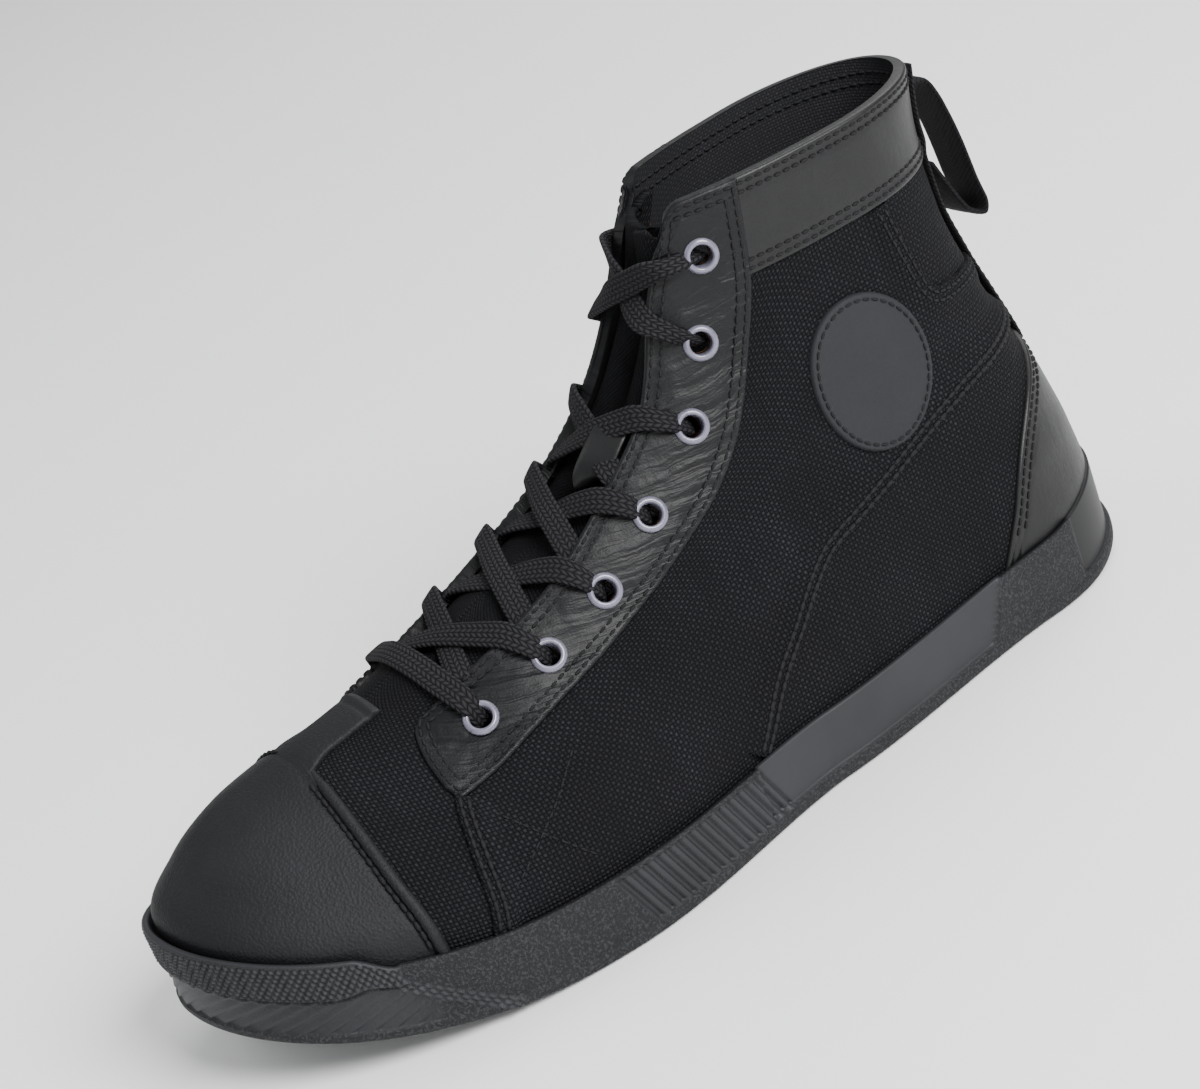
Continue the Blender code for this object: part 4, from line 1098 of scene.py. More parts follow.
def tube(name, centres, radii, material, sides=12, normals=None, replaced=(), squash_share=1.0):
    """Round cord through centres, closed at both ends."""
    run = unit(np.gradient(centres, axis=0))
    if normals is None:
        normals = np.tile(np.array([0.0, 0.0, 1.0]), (len(centres), 1))
    across = unit(np.cross(normals, run))
    lie = unit(np.cross(run, across))
    return ribbon(name, centres, across, lie, 2 * radii, 2 * radii * squash_share, material, sides, 1.0, replaced)


def ribbon(name, centres, across, lie, width, thickness, material, sides=16, boxy=0.45, replaced=()):
    """Strap of rounded flat section, closed at both ends; its map is in metres."""
    count = len(centres)
    width = np.broadcast_to(width, count).astype(float)
    thickness = np.broadcast_to(thickness, count).astype(float)
    turn = np.linspace(0, 2 * math.pi, sides, endpoint=False)
    section = np.stack([np.sign(np.cos(turn)) * np.abs(np.cos(turn)) ** boxy,
                        np.sign(np.sin(turn)) * np.abs(np.sin(turn)) ** min(1.0, boxy * 1.6)], 1)
    shrink = np.ones(count)
    centres = np.concatenate([centres[:1], centres[:1], centres, centres[-1:], centres[-1:]])
    across = np.concatenate([across[:1], across[:1], across, across[-1:], across[-1:]])
    lie = np.concatenate([lie[:1], lie[:1], lie, lie[-1:], lie[-1:]])
    width = np.concatenate([width[:1], width[:1], width, width[-1:], width[-1:]])
    thickness = np.concatenate([thickness[:1], thickness[:1], thickness, thickness[-1:], thickness[-1:]])
    shrink = np.concatenate([[0.001, 0.7], shrink, [0.7, 0.001]])
    half = (section[None, :, 0] * (width * shrink)[:, None] / 2, section[None, :, 1] * (thickness * shrink)[:, None] / 2)
    points = centres[:, None] + across[:, None] * half[0][..., None] + lie[:, None] * half[1][..., None]
    travel = np.concatenate([[0], np.cumsum(np.linalg.norm(np.diff(centres, axis=0), axis=1))])
    uv = np.stack([np.repeat(travel[:, None], sides, axis=1), half[0]], -1)
    faces = grid_faces(len(centres), sides, closed=True)
    ring = np.cross(points[3, 1] - points[3, 0], points[4, 0] - points[3, 0])
    if ring @ (points[3, 0] - centres[3]) < 0:
        faces = faces[:, ::-1]
    piece = mesh_object(name, points.reshape(-1, 3), faces, uv.reshape(-1, 2))
    return finish_piece(piece, material, replaced)


def build_piping(looks):
    """Rolled edge along the back of the cap, up to the tab on each side."""
    for side, name in ((1, "lateral"), (-1, "medial")):
        rows = curve_through(CAP_EDGE, 90)
        angle = side * angle_at(rows[:, 0], rows[:, 1])
        off = skin(angle, rows[:, 1])[:, 0] - centre_line(rows[:, 0]) - TAB_SHIFT
        keep = np.abs(off) > TAB_HALF + (0.8 if side > 0 else 7.0) * MM
        angle, level = angle[keep], rows[keep, 1]
        thin = smooth_step(0, 10, np.arange(keep.sum())[::-1])
        centres = surface(angle, level, 0.85 * MM * thin)
        tube("cap_piping_" + name, centres, (1.0 + 0.65 * thin) * MM, looks["cap"],
             normals=skin_normal(angle, level))


def build_patch(looks):
    """Round bare patch over the ankle bone."""
    place, level = PATCH_PLACE
    middle = side_point(place, level)
    turn = np.linspace(0, 2 * math.pi, 97)
    rings = np.concatenate([stops(14, PATCH_RADIUS, 1.0 * MM, last=False)])
    radius = PATCH_RADIUS * (1 - rings)
    y = middle[0] + radius[:, None] * np.cos(turn) * PATCH_NARROW
    z = middle[1] + radius[:, None] * np.sin(turn)
    place = HEEL_SHARE - y / LENGTH
    level = level_at(z - spring(place))
    angle = angle_at(place, level)
    panel = Panel(angle, level, 0.0, 1.5 * MM, {"top": 0.3 * MM}, roll=1.3 * MM)
    panel.stitch("top", 1.9 * MM)
    panel.build("ankle_patch_disc", looks["badge"], ("ankle_patch",))


def side_strip(name, table, side, width, toward, thickness, look, rows_of_stitches, kind="seam"):
    """Turned edge of a cloth panel along a seam, fading into the cloth behind it."""
    line = curve_through(table, 160)
    flat = np.stack([line[:, 0] * LENGTH, height(line[:, 1])], 1)
    run = unit(np.gradient(flat, axis=0))
    square = np.stack([-run[:, 1], run[:, 0]], 1) * toward
    columns = stops(12, width, 0.8 * MM, last=False) * width
    grid = flat[:, None] + square[:, None] * columns[None, :, None]
    place, level = grid[..., 0] / LENGTH, level_at(grid[..., 1])
    angle = side * angle_at(place, level)
    panel = Panel(angle, level, 0.0, thickness, {"left": 0.4 * MM}, roll=0.8 * MM)
    fade = smooth_step(width * 0.5, width, columns)[None, :]
    for distance in rows_of_stitches:
        panel.stitch("left", distance, 1 * MM, 1 * MM, kind)
    panel.lift = panel.lift * (1 - fade) + 0.04 * MM * fade
    return panel.build(name, look)


def build_seam_edges(looks):
    for side, name in ((1, "lateral"), (-1, "medial")):
        double = (1.6 * MM, 3.9 * MM)
        side_strip("vamp_seam_" + name, VAMP_SEAM, side, 9 * MM, -1, 1.5 * MM, looks["canvas"], double, "rope")
        side_strip("rear_seam_" + name, REAR_SEAM, side, 9 * MM, -1, 1.3 * MM, looks["canvas"], double, "rope")
        side_strip("ankle_seam_" + name, COLLAR_SEAM, side, 8 * MM, 1, 1.1 * MM, looks["canvas"], double)
        for p0, l0, p1, l1 in CROSS_STITCHES:
            line = curve_through(np.array([(p0, l0), ((p0 + p1) / 2, (l0 + l1) / 2), (p1, l1)]), 60)
            angle = side * angle_at(line[:, 0], line[:, 1])
            sew_on_skin("faint", angle, line[:, 1], 0 * angle + 0.05 * MM)


def build_webbing(looks):
    """Strap up the back seam, from the counter to the collar."""
    level = np.linspace(0.90, 1.97, 90)
    angle = 0 * level
    rise = smooth_step(0.88, 0.98, level) * 0.2 + smooth_step(1.66, 1.72, level) * 1.1
    centres = surface(angle, level, (1.6 + rise) * MM)
    across = np.tile(np.array([1.0, 0, 0]), (len(level), 1))
    lie = unit(np.cross(np.gradient(centres, axis=0), across))
    ribbon("heel_strap", centres, across, lie, 14.5 * MM, 1.5 * MM, looks["webbing"],
           replaced=("heel_webbing",))
    for x in (-5.6 * MM, 5.6 * MM):
        line = centres + across * x + skin_normal(angle, level) * 0.72 * MM
        sew("seam", line, skin_normal(angle, level))


LOOP_COLUMNS = "out level".split()
LOOP = np.array([
    (0.0, 1.90), (0.012, 1.895), (0.029, 1.80), (0.038, 1.62), (0.041, 1.44),
    (0.033, 1.385), (0.021, 1.42), (0.010, 1.53), (0.0, 1.63),
])


def build_pull_loop(looks):
    """Strap that hangs out behind the cuff."""
    travel = np.arange(len(LOOP))
    t = np.linspace(0, len(LOOP) - 1, 120)
    out = smooth_curve(travel, LOOP[:, 0], t) * LENGTH
    level = smooth_curve(travel, LOOP[:, 1], t)
    centres = skin(0 * t, level)
    centres[:, 1] += out + 3.0 * MM
    across = np.tile(np.array([1.0, 0, 0]), (len(t), 1))
    lie = unit(np.cross(np.gradient(centres, axis=0), across))
    ribbon("pull_strap", centres, across, lie, 15 * MM, 1.5 * MM, looks["webbing"],
           replaced=("pull_loop",))


TONGUE_SINK_COLUMNS = "level depth".split()
TONGUE_SINK = np.array([(0.90, 1.0), (1.15, 2.5), (1.30, 6.0), (1.45, 9.0), (1.70, 11.5), (2.05, 14.0)])
TONGUE_TOP = 1.93
TAB_LEVEL = 1.335
TAB_SPAN = 0.13
TAB_COLUMN = 0.27
TAB_ARCH = 6.0 * MM


def tongue_edge(level, side):
    """Angle where the tongue starts under an eyestay."""
    held = np.minimum(level, 2)
    edge = throat_angle(held, side)
    back, front = slice_ends(held)
    return edge - 7 * MM / ((front - back) * LENGTH) * 2 / np.sin(edge)


def tongue_point(level_rows, columns, lift):
    """Angles, levels and points of the tongue, which lies flatter than the last's round front."""
    start = tongue_edge(level_rows, 1)[:, None]
    end = 2 * math.pi - tongue_edge(level_rows, -1)[:, None]
    angle = start + (end - start) * columns[None, :]
    level = np.repeat(level_rows[:, None], len(columns), axis=1)
    middle = 0.5 - 0.5 * np.cos(2 * math.pi * np.clip((columns - 0.06) / 0.88, 0, 1))
    sink = smooth_curve(TONGUE_SINK[:, 0], TONGUE_SINK[:, 1], level_rows)[:, None] * middle ** 0.8 * MM
    buckle = 0.8 * MM * np.sin(level * 19 + 2 * columns) * middle * smooth_step(1.0, 1.2, level)
    return angle, level, surface(angle, level, lift - sink - buckle)


def build_tongue(looks):
    """Cloth tongue under the laces, and the smooth tab that holds them."""
    levels = np.linspace(0.90, TONGUE_TOP, 120)
    columns = np.linspace(0, 1, 70)
    deep = -(UPPER_WALL + 1.0 * MM)
    angle, level, outer = tongue_point(levels, columns, deep)
    inner = tongue_point(levels[::-1], columns, deep - TONGUE_DEPTH)[2]
    both = np.concatenate([outer, inner])
    rows, count = both.shape[:2]
    faces = grid_faces(rows, count)
    if not facing(outer, skin_normal(angle, level)):
        faces = faces[:, ::-1]
    uv = cloth_map(np.concatenate([angle, angle[::-1]]), np.concatenate([level, level[::-1]]))
    piece = mesh_object("tongue_cloth", both.reshape(-1, 3), faces, uv.reshape(-1, 2))
    finish_piece(piece, looks["canvas"], ("tongue",))
    t = np.linspace(0, 1, 40)
    rows_of_tab = TAB_LEVEL + TAB_SPAN * t
    arch = TAB_ARCH * np.sin(math.pi * t) ** 0.35
    lines = [tongue_point(rows_of_tab, np.array([column]), deep + 0.6 * MM + arch[:, None])[2][:, 0]
             for column in (TAB_COLUMN - 0.08, TAB_COLUMN, TAB_COLUMN + 0.08)]
    run = np.gradient(lines[1], axis=0)
    turned_out = unit(np.cross(run, lines[2] - lines[0]))
    turned_out = turned_out * np.sign(turned_out @ np.array([0, -1.0, 0.3]))[:, None] + np.array([0.6, 0, 0])
    across = unit(np.cross(turned_out, run))
    lie = unit(np.cross(run, across))
    ribbon("lace_tab", lines[1], across, lie, 10.5 * MM, 1.5 * MM, looks["smooth_leather"],
           replaced=("lace_keeper",))


def eyelet_place(row, side):
    """Place and level of an eyelet; the inner row follows its facing's set-back edge."""
    place, level = EYELETS[row]
    if side < 0:
        place = place - 0.6 * float(inner_set_back(level))
    return place, level


def eyelet_frame(row, side):
    """Seat and outward axis of an eyelet."""
    place, level = eyelet_place(row, side)
    angle = side * float(angle_at(place, level))
    centre = skin(angle, level)
    turn, rise = np.meshgrid(np.linspace(-0.12, 0.12, 13), np.linspace(-0.09, 0.09, 13))
    around = skin(angle + turn, level + rise).reshape(-1, 3)
    normals = skin_normal(angle + turn, level + rise).reshape(-1, 3)
    near = np.linalg.norm(around - centre, axis=1) < 5.5 * MM
    axis = unit(normals[near].mean(axis=0))
    lift = max(0.0, float(((around[near] - centre) @ axis).max()))
    return centre + axis * lift, axis


RING_COLUMNS = "radius height".split()
RING = np.array([
    (2.95, -2.2), (2.95, 1.7), (3.1, 2.25), (3.5, 2.55), (4.05, 2.4), (4.6, 1.95), (4.75, 1.6), (4.6, 1.3),
])
BACK_RING = np.array([
    (2.6, -1.6), (2.6, -2.5), (2.9, -2.95), (3.6, -2.9), (4.3, -2.5), (4.3, -2.2),
])


def turned(profile, frames, sides=40):
    """Points and faces of a turned profile, placed at several seats."""
    turn = np.linspace(0, 2 * math.pi, sides, endpoint=False)
    points, faces = [], []
    for centre, axis in frames:
        side_way = unit(np.cross(axis, np.array([0.0, 1.0, 0.3])))
        up_way = np.cross(axis, side_way)
        ring = side_way * np.cos(turn)[:, None] + up_way * np.sin(turn)[:, None]
        for radius, high in profile * MM:
            points.append(centre + ring * radius + axis * high)
    grid = grid_faces(len(profile), sides, closed=True)
    faces = np.concatenate([grid + i * len(profile) * sides for i in range(len(frames))])
    points = np.concatenate(points)
    face = points[faces[0]]
    normal = np.cross(face[1] - face[0], face[3] - face[0])
    centre, axis = frames[0]
    outward = face[0] - centre
    outward = outward - axis * (outward @ axis)
    if normal @ outward > 0:
        faces = faces[:, ::-1]
    return points, faces


def build_eyelets(looks):
    """Lacquered rings on the facings, and their brass backs inside."""
    frames = [eyelet_frame(row, side) for side in (1, -1) for row in range(len(EYELETS))]
    names = tuple("eyelet_%s_%d" % (name, row + 1) for name in ("lateral", "medial") for row in range(len(EYELETS)))
    points, faces = turned(RING, frames)
    finish_piece(mesh_object("eyelet_rings", points, faces), looks["enamel"], names)
    points, faces = turned(BACK_RING[::-1], frames)
    finish_piece(mesh_object("eyelet_backs", points, faces), looks["brass"])


def skin_hit(origins, direction):
    """Points, angles and levels where rays from inside the last leave it."""
    near = np.zeros(len(origins))
    far = np.full(len(origins), INSTEP)
    for _ in range(34):
        reach = (near + far) / 2
        point = origins + direction * reach[:, None]
        place = HEEL_SHARE - point[:, 1] / LENGTH
        level = level_at(point[:, 2] - spring(place))
        back, front = slice_ends(level)
        off = point[:, 0] - centre_line(place)
        angle = angle_at(place, level) * np.where(off < 0, -1, 1)
        edge = skin(angle, level)[:, 0] - centre_line(place)
        inside = (level < 2) & (back < place) & (place < front) & (np.abs(off) < np.abs(edge))
        near = np.where(inside, reach, near)
        far = np.where(inside, far, reach)
    return point, angle, level


LACE_COLUMNS = "distance lift".split()
LACE_RISE = np.array([(0.0, -2.6), (0.8, -1.2), (2.6, 3.0), (4.4, 4.3), (7.5, 3.4), (12.0, 2.3)]) * MM
LACE_DUCK = np.array([(0.0, -3.0), (2.0, -2.8), (5.0, -2.2), (8.0, 0.2), (12.0, 2.0)]) * MM


def lace_line(start, end, over, ducks, steps=72):
    """Centres and normals of one strand, from a hole across the foot.

    It lies on each facing and runs straight between their edges.
    """
    places = []
    for row, side in (start, end):
        place, level = eyelet_place(row, side)
        places.append(skin(side * float(angle_at(place, level)), level))
    row = min(start[0], end[0], len(EYELETS) - 2)
    upper_one, lower_one = side_point(*EYELETS[row]), side_point(*EYELETS[row + 1])
    direction = np.array([0, upper_one[1] - lower_one[1], lower_one[0] - upper_one[0]])
    direction = -direction / np.linalg.norm(direction)
    span = np.linalg.norm(places[1] - places[0])
    t = np.linspace(0, 1, steps)
    far = t * span
    near_start = smooth_curve(LACE_RISE[:, 0], LACE_RISE[:, 1], far)
    ending = LACE_DUCK if ducks else LACE_RISE
    near_end = smooth_curve(ending[:, 0], ending[:, 1], span - far)
    blend = smooth_step(0.3, 0.7, t)
    lift = near_start * (1 - blend) + near_end * blend
    base, angle, level = skin_hit(places[0] + (places[1] - places[0]) * t[:, None], direction)
    normals = skin_normal(angle, level)
    points = base + normals * lift[:, None]
    edge = np.where(angle > 0, throat_angle(level), throat_angle(level, -1))
    gap = np.flatnonzero((np.abs(angle) > edge) & (level > 1.0))
    pull = LACE_PULL if start[0] != end[0] else 0.25
    if len(gap) > 2:
        first, last = max(gap[0] - 1, 1), min(gap[-1] + 1, steps - 2)
        share = np.linspace(0, 1, last - first + 1)[:, None]
        for line in (points, normals):
            straight = line[first] * (1 - share) + line[last] * share
            line[first:last + 1] = straight * pull + line[first:last + 1] * (1 - pull)
    points = points + unit(normals) * (over * np.exp(-((t - 0.5) / 0.16) ** 2))[:, None]
    for _ in range(8):
        normals[1:-1] = unit(normals[:-2] + normals[1:-1] * 2 + normals[2:])
        points[1:-1] = points[1:-1] * 0.5 + (points[:-2] + points[2:]) * 0.25
    return points, normals, far, span


LACE_PULL = 0.8


def lace_strands():
    """Each strand: its hole, where it goes, how far it stands over the other, whether it ducks."""
    last = len(EYELETS) - 1
    strands = [((0, 1), (1, -1), 1.0 * MM, False), ((0, -1), (1, 1), -0.9 * MM, False)]
    for row in range(2, last):
        outer_over = 1 if row in (2, last - 1) else -1
        strands.append(((row, 1), (row + 1, -1), 0.95 * MM * outer_over, True))
        strands.append(((row, -1), (row + 1, 1), -0.95 * MM * outer_over, True))
    strands.append(((last, 1), (last, -1), 0.2 * MM, False))
    return strands


def build_laces(looks):
    """Criss-cross lacing: down one hole, under the other facing, and crossed at the top."""
    for number, (start, end, over, ducks) in enumerate(lace_strands()):
        points, normals, far, span = lace_line(start, end, over, ducks)
        chord = unit(points[-1] - points[0])
        run = unit(np.gradient(points, axis=0))
        across = unit(np.cross(normals, chord))
        lie = unit(np.cross(run, across))
        lie = lie * np.sign(np.sum(lie * normals, axis=1))[:, None]
        open_up = smooth_step(0.5 * MM, 8 * MM, far)
        if not ducks:
            open_up = open_up * smooth_step(0.5 * MM, 8 * MM, span - far)
        width = 5.5 * MM + 1.6 * MM * open_up
        thickness = 2.4 * MM - 0.8 * MM * open_up
        replaced = ("lace_crossings",) if number == 0 else ()
        ribbon("lace_%02d" % (number + 1), points, across, lie, width, thickness, looks["lace"],
               sides=20, replaced=replaced)


SOLE_LEVEL = 0.26


def sole_plan(angle, out):
    """Point of the sole's plan, pushed out square to its edge."""
    angle = np.asarray(angle, float)
    point = skin(angle, SOLE_LEVEL)[..., :2]
    run = (skin(angle + 0.01, SOLE_LEVEL) - skin(angle - 0.01, SOLE_LEVEL))[..., :2]
    normal = unit(np.stack([-run[..., 1], run[..., 0]], -1))
    return point + normal * np.asarray(out)[..., None]


def ground(place):
    """Underside of the sole: flat, sprung at the toe, bevelled at the heel."""
    bevel = np.clip(1 - place / 0.11, 0, 1)
    return spring(place) + 6 * MM * bevel * bevel


def soft_band(low, high, x, soft=0.35):
    """1 between two heights in millimetres, with soft ends."""
    return smooth_step(low - soft, low + soft, x) * (1 - smooth_step(high - soft, high + soft, x))


def wall_relief(place, from_toe, high, tall):
    """Relief of the sole's side in millimetres, where it is sandy, and the painted light and shade that follow its
    relief.

    place is in millimetres from the heel, from_toe along the edge, high above the ground edge.
    """
    relief = 0.4 * (1 - smooth_step(3.0, 3.5, high)) * smooth_step(0.2, 1.0, high)
    sand = np.ones(place.shape)
    heel = (1 - smooth_step(31.4, 32.2, place + 0.9 * np.clip(7 - high, 0, 3) ** 2 / 3)) * smooth_step(4.0, 4.7, high)
    relief = relief - 1.0 * heel
    rear = 60 + 12 * (1 - np.clip(high / tall, 0, 1))
    top = tall + 2
    panel = smooth_step(rear - 0.4, rear + 0.4, place) * (1 - smooth_step(154.6, 155.4, place))
    panel = panel * soft_band(4.6, top, high)
    relief = relief - 1.0 * panel
    lean = place - 9.0 * (high / tall - 1.0)
    inside = soft_band(155.0, 206.0, lean, 0.4) * soft_band(4.0, tall - 1.2, high, 0.4)
    pitch = 3.55
    phase = ((lean - 155.0) / pitch) % 1.0
    rib = smooth_step(0.12, 0.26, phase) * (1 - smooth_step(0.66, 0.80, phase))
    relief = relief - 1.1 * inside * (1 - rib)
    sand = sand * (1 - np.clip(heel + panel + inside, 0, 1))
    toe = smooth_step(260.5, 261.6, place)
    taper = 6.0 * (1 - smooth_step(259.0, 277.0, place))
    low_edge = tall - 11.0 + taper
    band = toe * soft_band(low_edge, tall + 2, high, 0.3)
    relief = relief + 0.9 * band
    knurl = np.abs(np.sin(math.pi * (from_toe + 0.7 * high) / 1.84) * np.sin(math.pi * (from_toe - 0.7 * high) / 1.84))
    field = toe * soft_band(low_edge + 0.6, tall - 0.7, high, 0.2)
    relief = relief + field * (1.0 * knurl - 0.55)
    relief = relief - 0.45 * toe * soft_band(low_edge - 1.1, low_edge - 0.2, high, 0.2)
    fan = (from_toe - 1.6 * high) / 5.2 % 1.0
    below = soft_band(3.4, low_edge - 1.3, high, 0.3) * smooth_step(252, 262, place)
    relief = relief - 0.5 * below * smooth_step(0.0, 0.10, fan) * (1 - smooth_step(0.10, 0.95, fan))
    drop = tall - 3.2 - (262 - place) * 0.62
    dots = np.sin(math.pi * (place - 0.3 * high) / 1.7) * np.sin(math.pi * (high - drop) / 1.5)
    patch = soft_band(237, 263, place, 1.5) * soft_band(drop - 4.6, drop, high, 0.3)
    relief = relief + 0.6 * patch * smooth_step(0.25, 0.6, np.abs(dots))
    sand = sand * (1 - np.clip(band + below, 0, 1) * 0.8) * (1 - 0.6 * patch)
    # Painted light and shade for the colour: lighter on the knurl's crests and darker between them, lighter on the
    # patch's dots, darker in the sunken heel panel.
    painted_relief_light = field * (2.0 * knurl ** 1.6 - 0.55) + patch * smooth_step(0.4, 0.8, np.abs(dots)) * 0.6 - 0.5 * heel
    return relief, sand, painted_relief_light


def sole_columns():
    """Angles round the sole's edge, closest where its relief is fine."""
    angle = np.linspace(-math.pi, math.pi, 6001)
    points = sole_plan(angle, 0 * angle)
    arc = np.concatenate([[0], np.cumsum(np.linalg.norm(np.diff(points, axis=0), axis=1))])
    place = place_of(angle, SOLE_LEVEL) * LENGTH / MM
    close = 1.0 / np.where((place > 228) | ((place > 140) & (place < 212)), 0.42 * MM, 0.95 * MM)
    measure = np.concatenate([[0], np.cumsum(np.diff(arc) * (close[1:] + close[:-1]) / 2)])
    count = int(measure[-1])
    at = np.interp(np.linspace(0, measure[-1], count, endpoint=False), measure, np.arange(len(angle)))
    angles = np.interp(at, np.arange(len(angle)), angle)
    arcs = np.interp(at, np.arange(len(angle)), arc)
    return angles, np.minimum(arcs, arc[-1] - arcs) / MM * np.sign(angles)


LIP_COLUMNS = "inward drop".split()
LIP_STEPS = ((0.5, 0.0), (1.0, 0.15), (1.35, 0.8), (1.7, 2.0), (2.6, 3.0))


def build_outsole(looks):
    """Cupsole: side with its panels, ribs and toe bumper, and the tread."""
    angle, from_toe = sole_columns()
    place = place_of(angle, SOLE_LEVEL)
    low, top = ground(place), foxing(place) + spring(place)
    share = np.linspace(0, 1, 60)[:, None]
    high = (top - low)[None, :] * share
    tall = ((top - low) / MM)[None, :]
    relief, sand, painted_relief_light = wall_relief(place[None, :] * LENGTH / MM, from_toe[None, :], high / MM, tall)
    round_low = 1.3 * (1 - np.sqrt(1 - np.clip(1 - high / (1.6 * MM), 0, 1) ** 2))
    round_top = 0.6 * (1 - np.sqrt(1 - np.clip(1 - (tall - high / MM) / 0.6, 0, 1) ** 2))
    out = (3.5 + relief - round_low - round_top) * MM
    plan = sole_plan(np.repeat(angle[None, :], len(share), axis=0), out)
    wall = np.concatenate([plan, (low[None, :] + high)[..., None]], -1)
    seat = surface(angle, foxing(place) / INSTEP, 0 * angle - 0.6 * MM)
    fall = np.zeros((len(angle), 3))
    fall[:, 2] = 1.0 * MM
    reach = np.linalg.norm(seat - wall[-1], axis=1)[:, None] / MM
    ledge = [wall[-1] + (seat - wall[-1]) * np.minimum(inward / reach, 0.9) - fall * drop for inward, drop in LIP_STEPS]
    ledge.append(seat - fall * 3.4)
    centre = np.stack([centre_line(place), (HEEL_SHARE - np.clip(place, 0.10, 0.90)) * LENGTH], -1)
    under = []
    for t in np.linspace(0, 1, 22)[1:]:
        flat = wall[0, :, :2] * (1 - t) + centre * t
        under.append(np.concatenate([flat, tread_height(flat, t)[..., None]], -1))
    points = np.concatenate([np.array(under)[::-1], wall, np.array(ledge)])
    below, above = np.zeros((len(under), len(angle))), np.zeros((len(ledge), len(angle)))
    # Per-point layers for the rubber: where it is sandy, and the painted light and shade of its relief.
    layers = {"sand": np.concatenate([below + 0.6, sand, above]).reshape(-1),
              "painted_relief_light": np.concatenate([below, painted_relief_light, above]).reshape(-1)}
    rows, columns = points.shape[:2]
    faces = grid_faces(rows, columns, closed=True)
    middle = len(under) + 20
    step = np.cross(points[middle, 1] - points[middle, 0], points[middle + 1, 0] - points[middle, 0])
    if step[:2] @ (wall[20, 0, :2] - centre[0]) < 0:
        faces = faces[:, ::-1]
    uv = np.zeros((rows * columns, 2))
    piece = mesh_object("cupsole", points.reshape(-1, 3), faces, uv, layers)
    finish_piece(piece, looks["rubber"], ("outsole",))


TREAD_PLACES = (0.11, 0.19, 0.25, 0.50, 0.56, 0.73, 0.79)


def tread_height(flat, share):
    """Underside at points of the plan: cross slots inside a plain rim."""
    place = HEEL_SHARE - flat[:, 1] / LENGTH
    rim = smooth_step(0.16, 0.24, share)
    slots = np.zeros(place.shape)
    for at in TREAD_PLACES:
        slots += soft_band(-1.6, 1.6, (place - at) * LENGTH / MM, 0.3)
    waist = soft_band(0.31 * LENGTH / MM, 0.44 * LENGTH / MM, place * LENGTH / MM, 0.5)
    lines = smooth_step(0.2, 0.7, np.sin(place * LENGTH / MM * 2 * math.pi / 4.2)) * 0.45
    pattern = np.clip(slots + waist + lines * (1 - slots) * (1 - waist), 0, 1)
    return ground(place) + 1.6 * MM * pattern * rim


def build_insole(looks):
    """Sock on the bed, inside the lining."""
    angle = np.linspace(-math.pi, math.pi, 241)[:-1]
    bed = 12 * MM
    rings = []
    for share, high in ((1.0, 0.4), (1.0, 2.6), (0.985, 3.2), (0.8, 3.4), (0.5, 3.4), (0.2, 3.4), (0.001, 3.4)):
        edge = surface(angle, angle * 0 + bed / INSTEP, angle * 0 - (UPPER_WALL + 0.8 * MM))
        place = HEEL_SHARE - edge[:, 1] / LENGTH
        middle = np.stack([centre_line(place), (HEEL_SHARE - np.clip(place, 0.12, 0.88)) * LENGTH], -1)
        flat = middle + (edge[:, :2] - middle) * share
        place = HEEL_SHARE - flat[:, 1] / LENGTH
        rings.append(np.concatenate([flat, (bed + spring(place) + high * MM)[:, None]], -1))
    points = np.array(rings)
    faces = grid_faces(points.shape[0], points.shape[1], closed=True)
    uv = points[..., :2].reshape(-1, 2)
    piece = mesh_object("sock", points.reshape(-1, 3), faces, uv)
    finish_piece(piece, looks["sock"], ("insole",))


def stitch_tree(name, length, radius, material):
    """Geometry nodes: one rounded stitch on every point of a mesh, laid along its direction."""
    tree = bpy.data.node_groups.new(name, "GeometryNodeTree")
    tree.interface.new_socket("Stitches", in_out="INPUT", socket_type="NodeSocketGeometry")
    tree.interface.new_socket("Length", in_out="INPUT", socket_type="NodeSocketFloat")
    tree.interface.new_socket("Radius", in_out="INPUT", socket_type="NodeSocketFloat")
    tree.interface.new_socket("Thread", in_out="OUTPUT", socket_type="NodeSocketGeometry")

    def add(kind, settings, sockets):
        node = tree.nodes.new(kind)
        for key, value in settings.items():
            setattr(node, key, value)
        for key, value in sockets.items():
            if isinstance(value, bpy.types.NodeSocket):
                tree.links.new(value, node.inputs[key])
            else:
                node.inputs[key].default_value = value
        return node

    given = add("NodeGroupInput", {}, {})
    half = add("ShaderNodeMath", {"operation": "DIVIDE"}, {0: given.outputs["Length"], 1: 2.0})
    size = add("ShaderNodeCombineXYZ", {}, {"X": given.outputs["Radius"], "Y": given.outputs["Radius"],
                                           "Z": half.outputs[0]})
    ball = add("GeometryNodeMeshUVSphere", {}, {"Segments": 6, "Rings": 5, "Radius": 1.0})
    along = add("GeometryNodeInputNamedAttribute", {"data_type": "FLOAT_VECTOR"}, {"Name": "along"})
    lay = add("FunctionNodeAlignRotationToVector", {"axis": "Z"}, {"Vector": along.outputs["Attribute"]})
    points = add("GeometryNodeMeshToPoints", {}, {"Mesh": given.outputs["Stitches"]})
    thread_one = add("GeometryNodeInstanceOnPoints", {}, {
        "Points": points.outputs["Points"], "Instance": ball.outputs["Mesh"],
        "Rotation": lay.outputs["Rotation"], "Scale": size.outputs["Vector"],
    })
    real = add("GeometryNodeRealizeInstances", {}, {"Geometry": thread_one.outputs["Instances"]})
    soft = add("GeometryNodeSetShadeSmooth", {}, {"Geometry": real.outputs["Geometry"]})
    dressed = add("GeometryNodeSetMaterial", {}, {"Geometry": soft.outputs["Geometry"], "Material": material})
    add("NodeGroupOutput", {}, {"Thread": dressed.outputs["Geometry"]})
    return tree


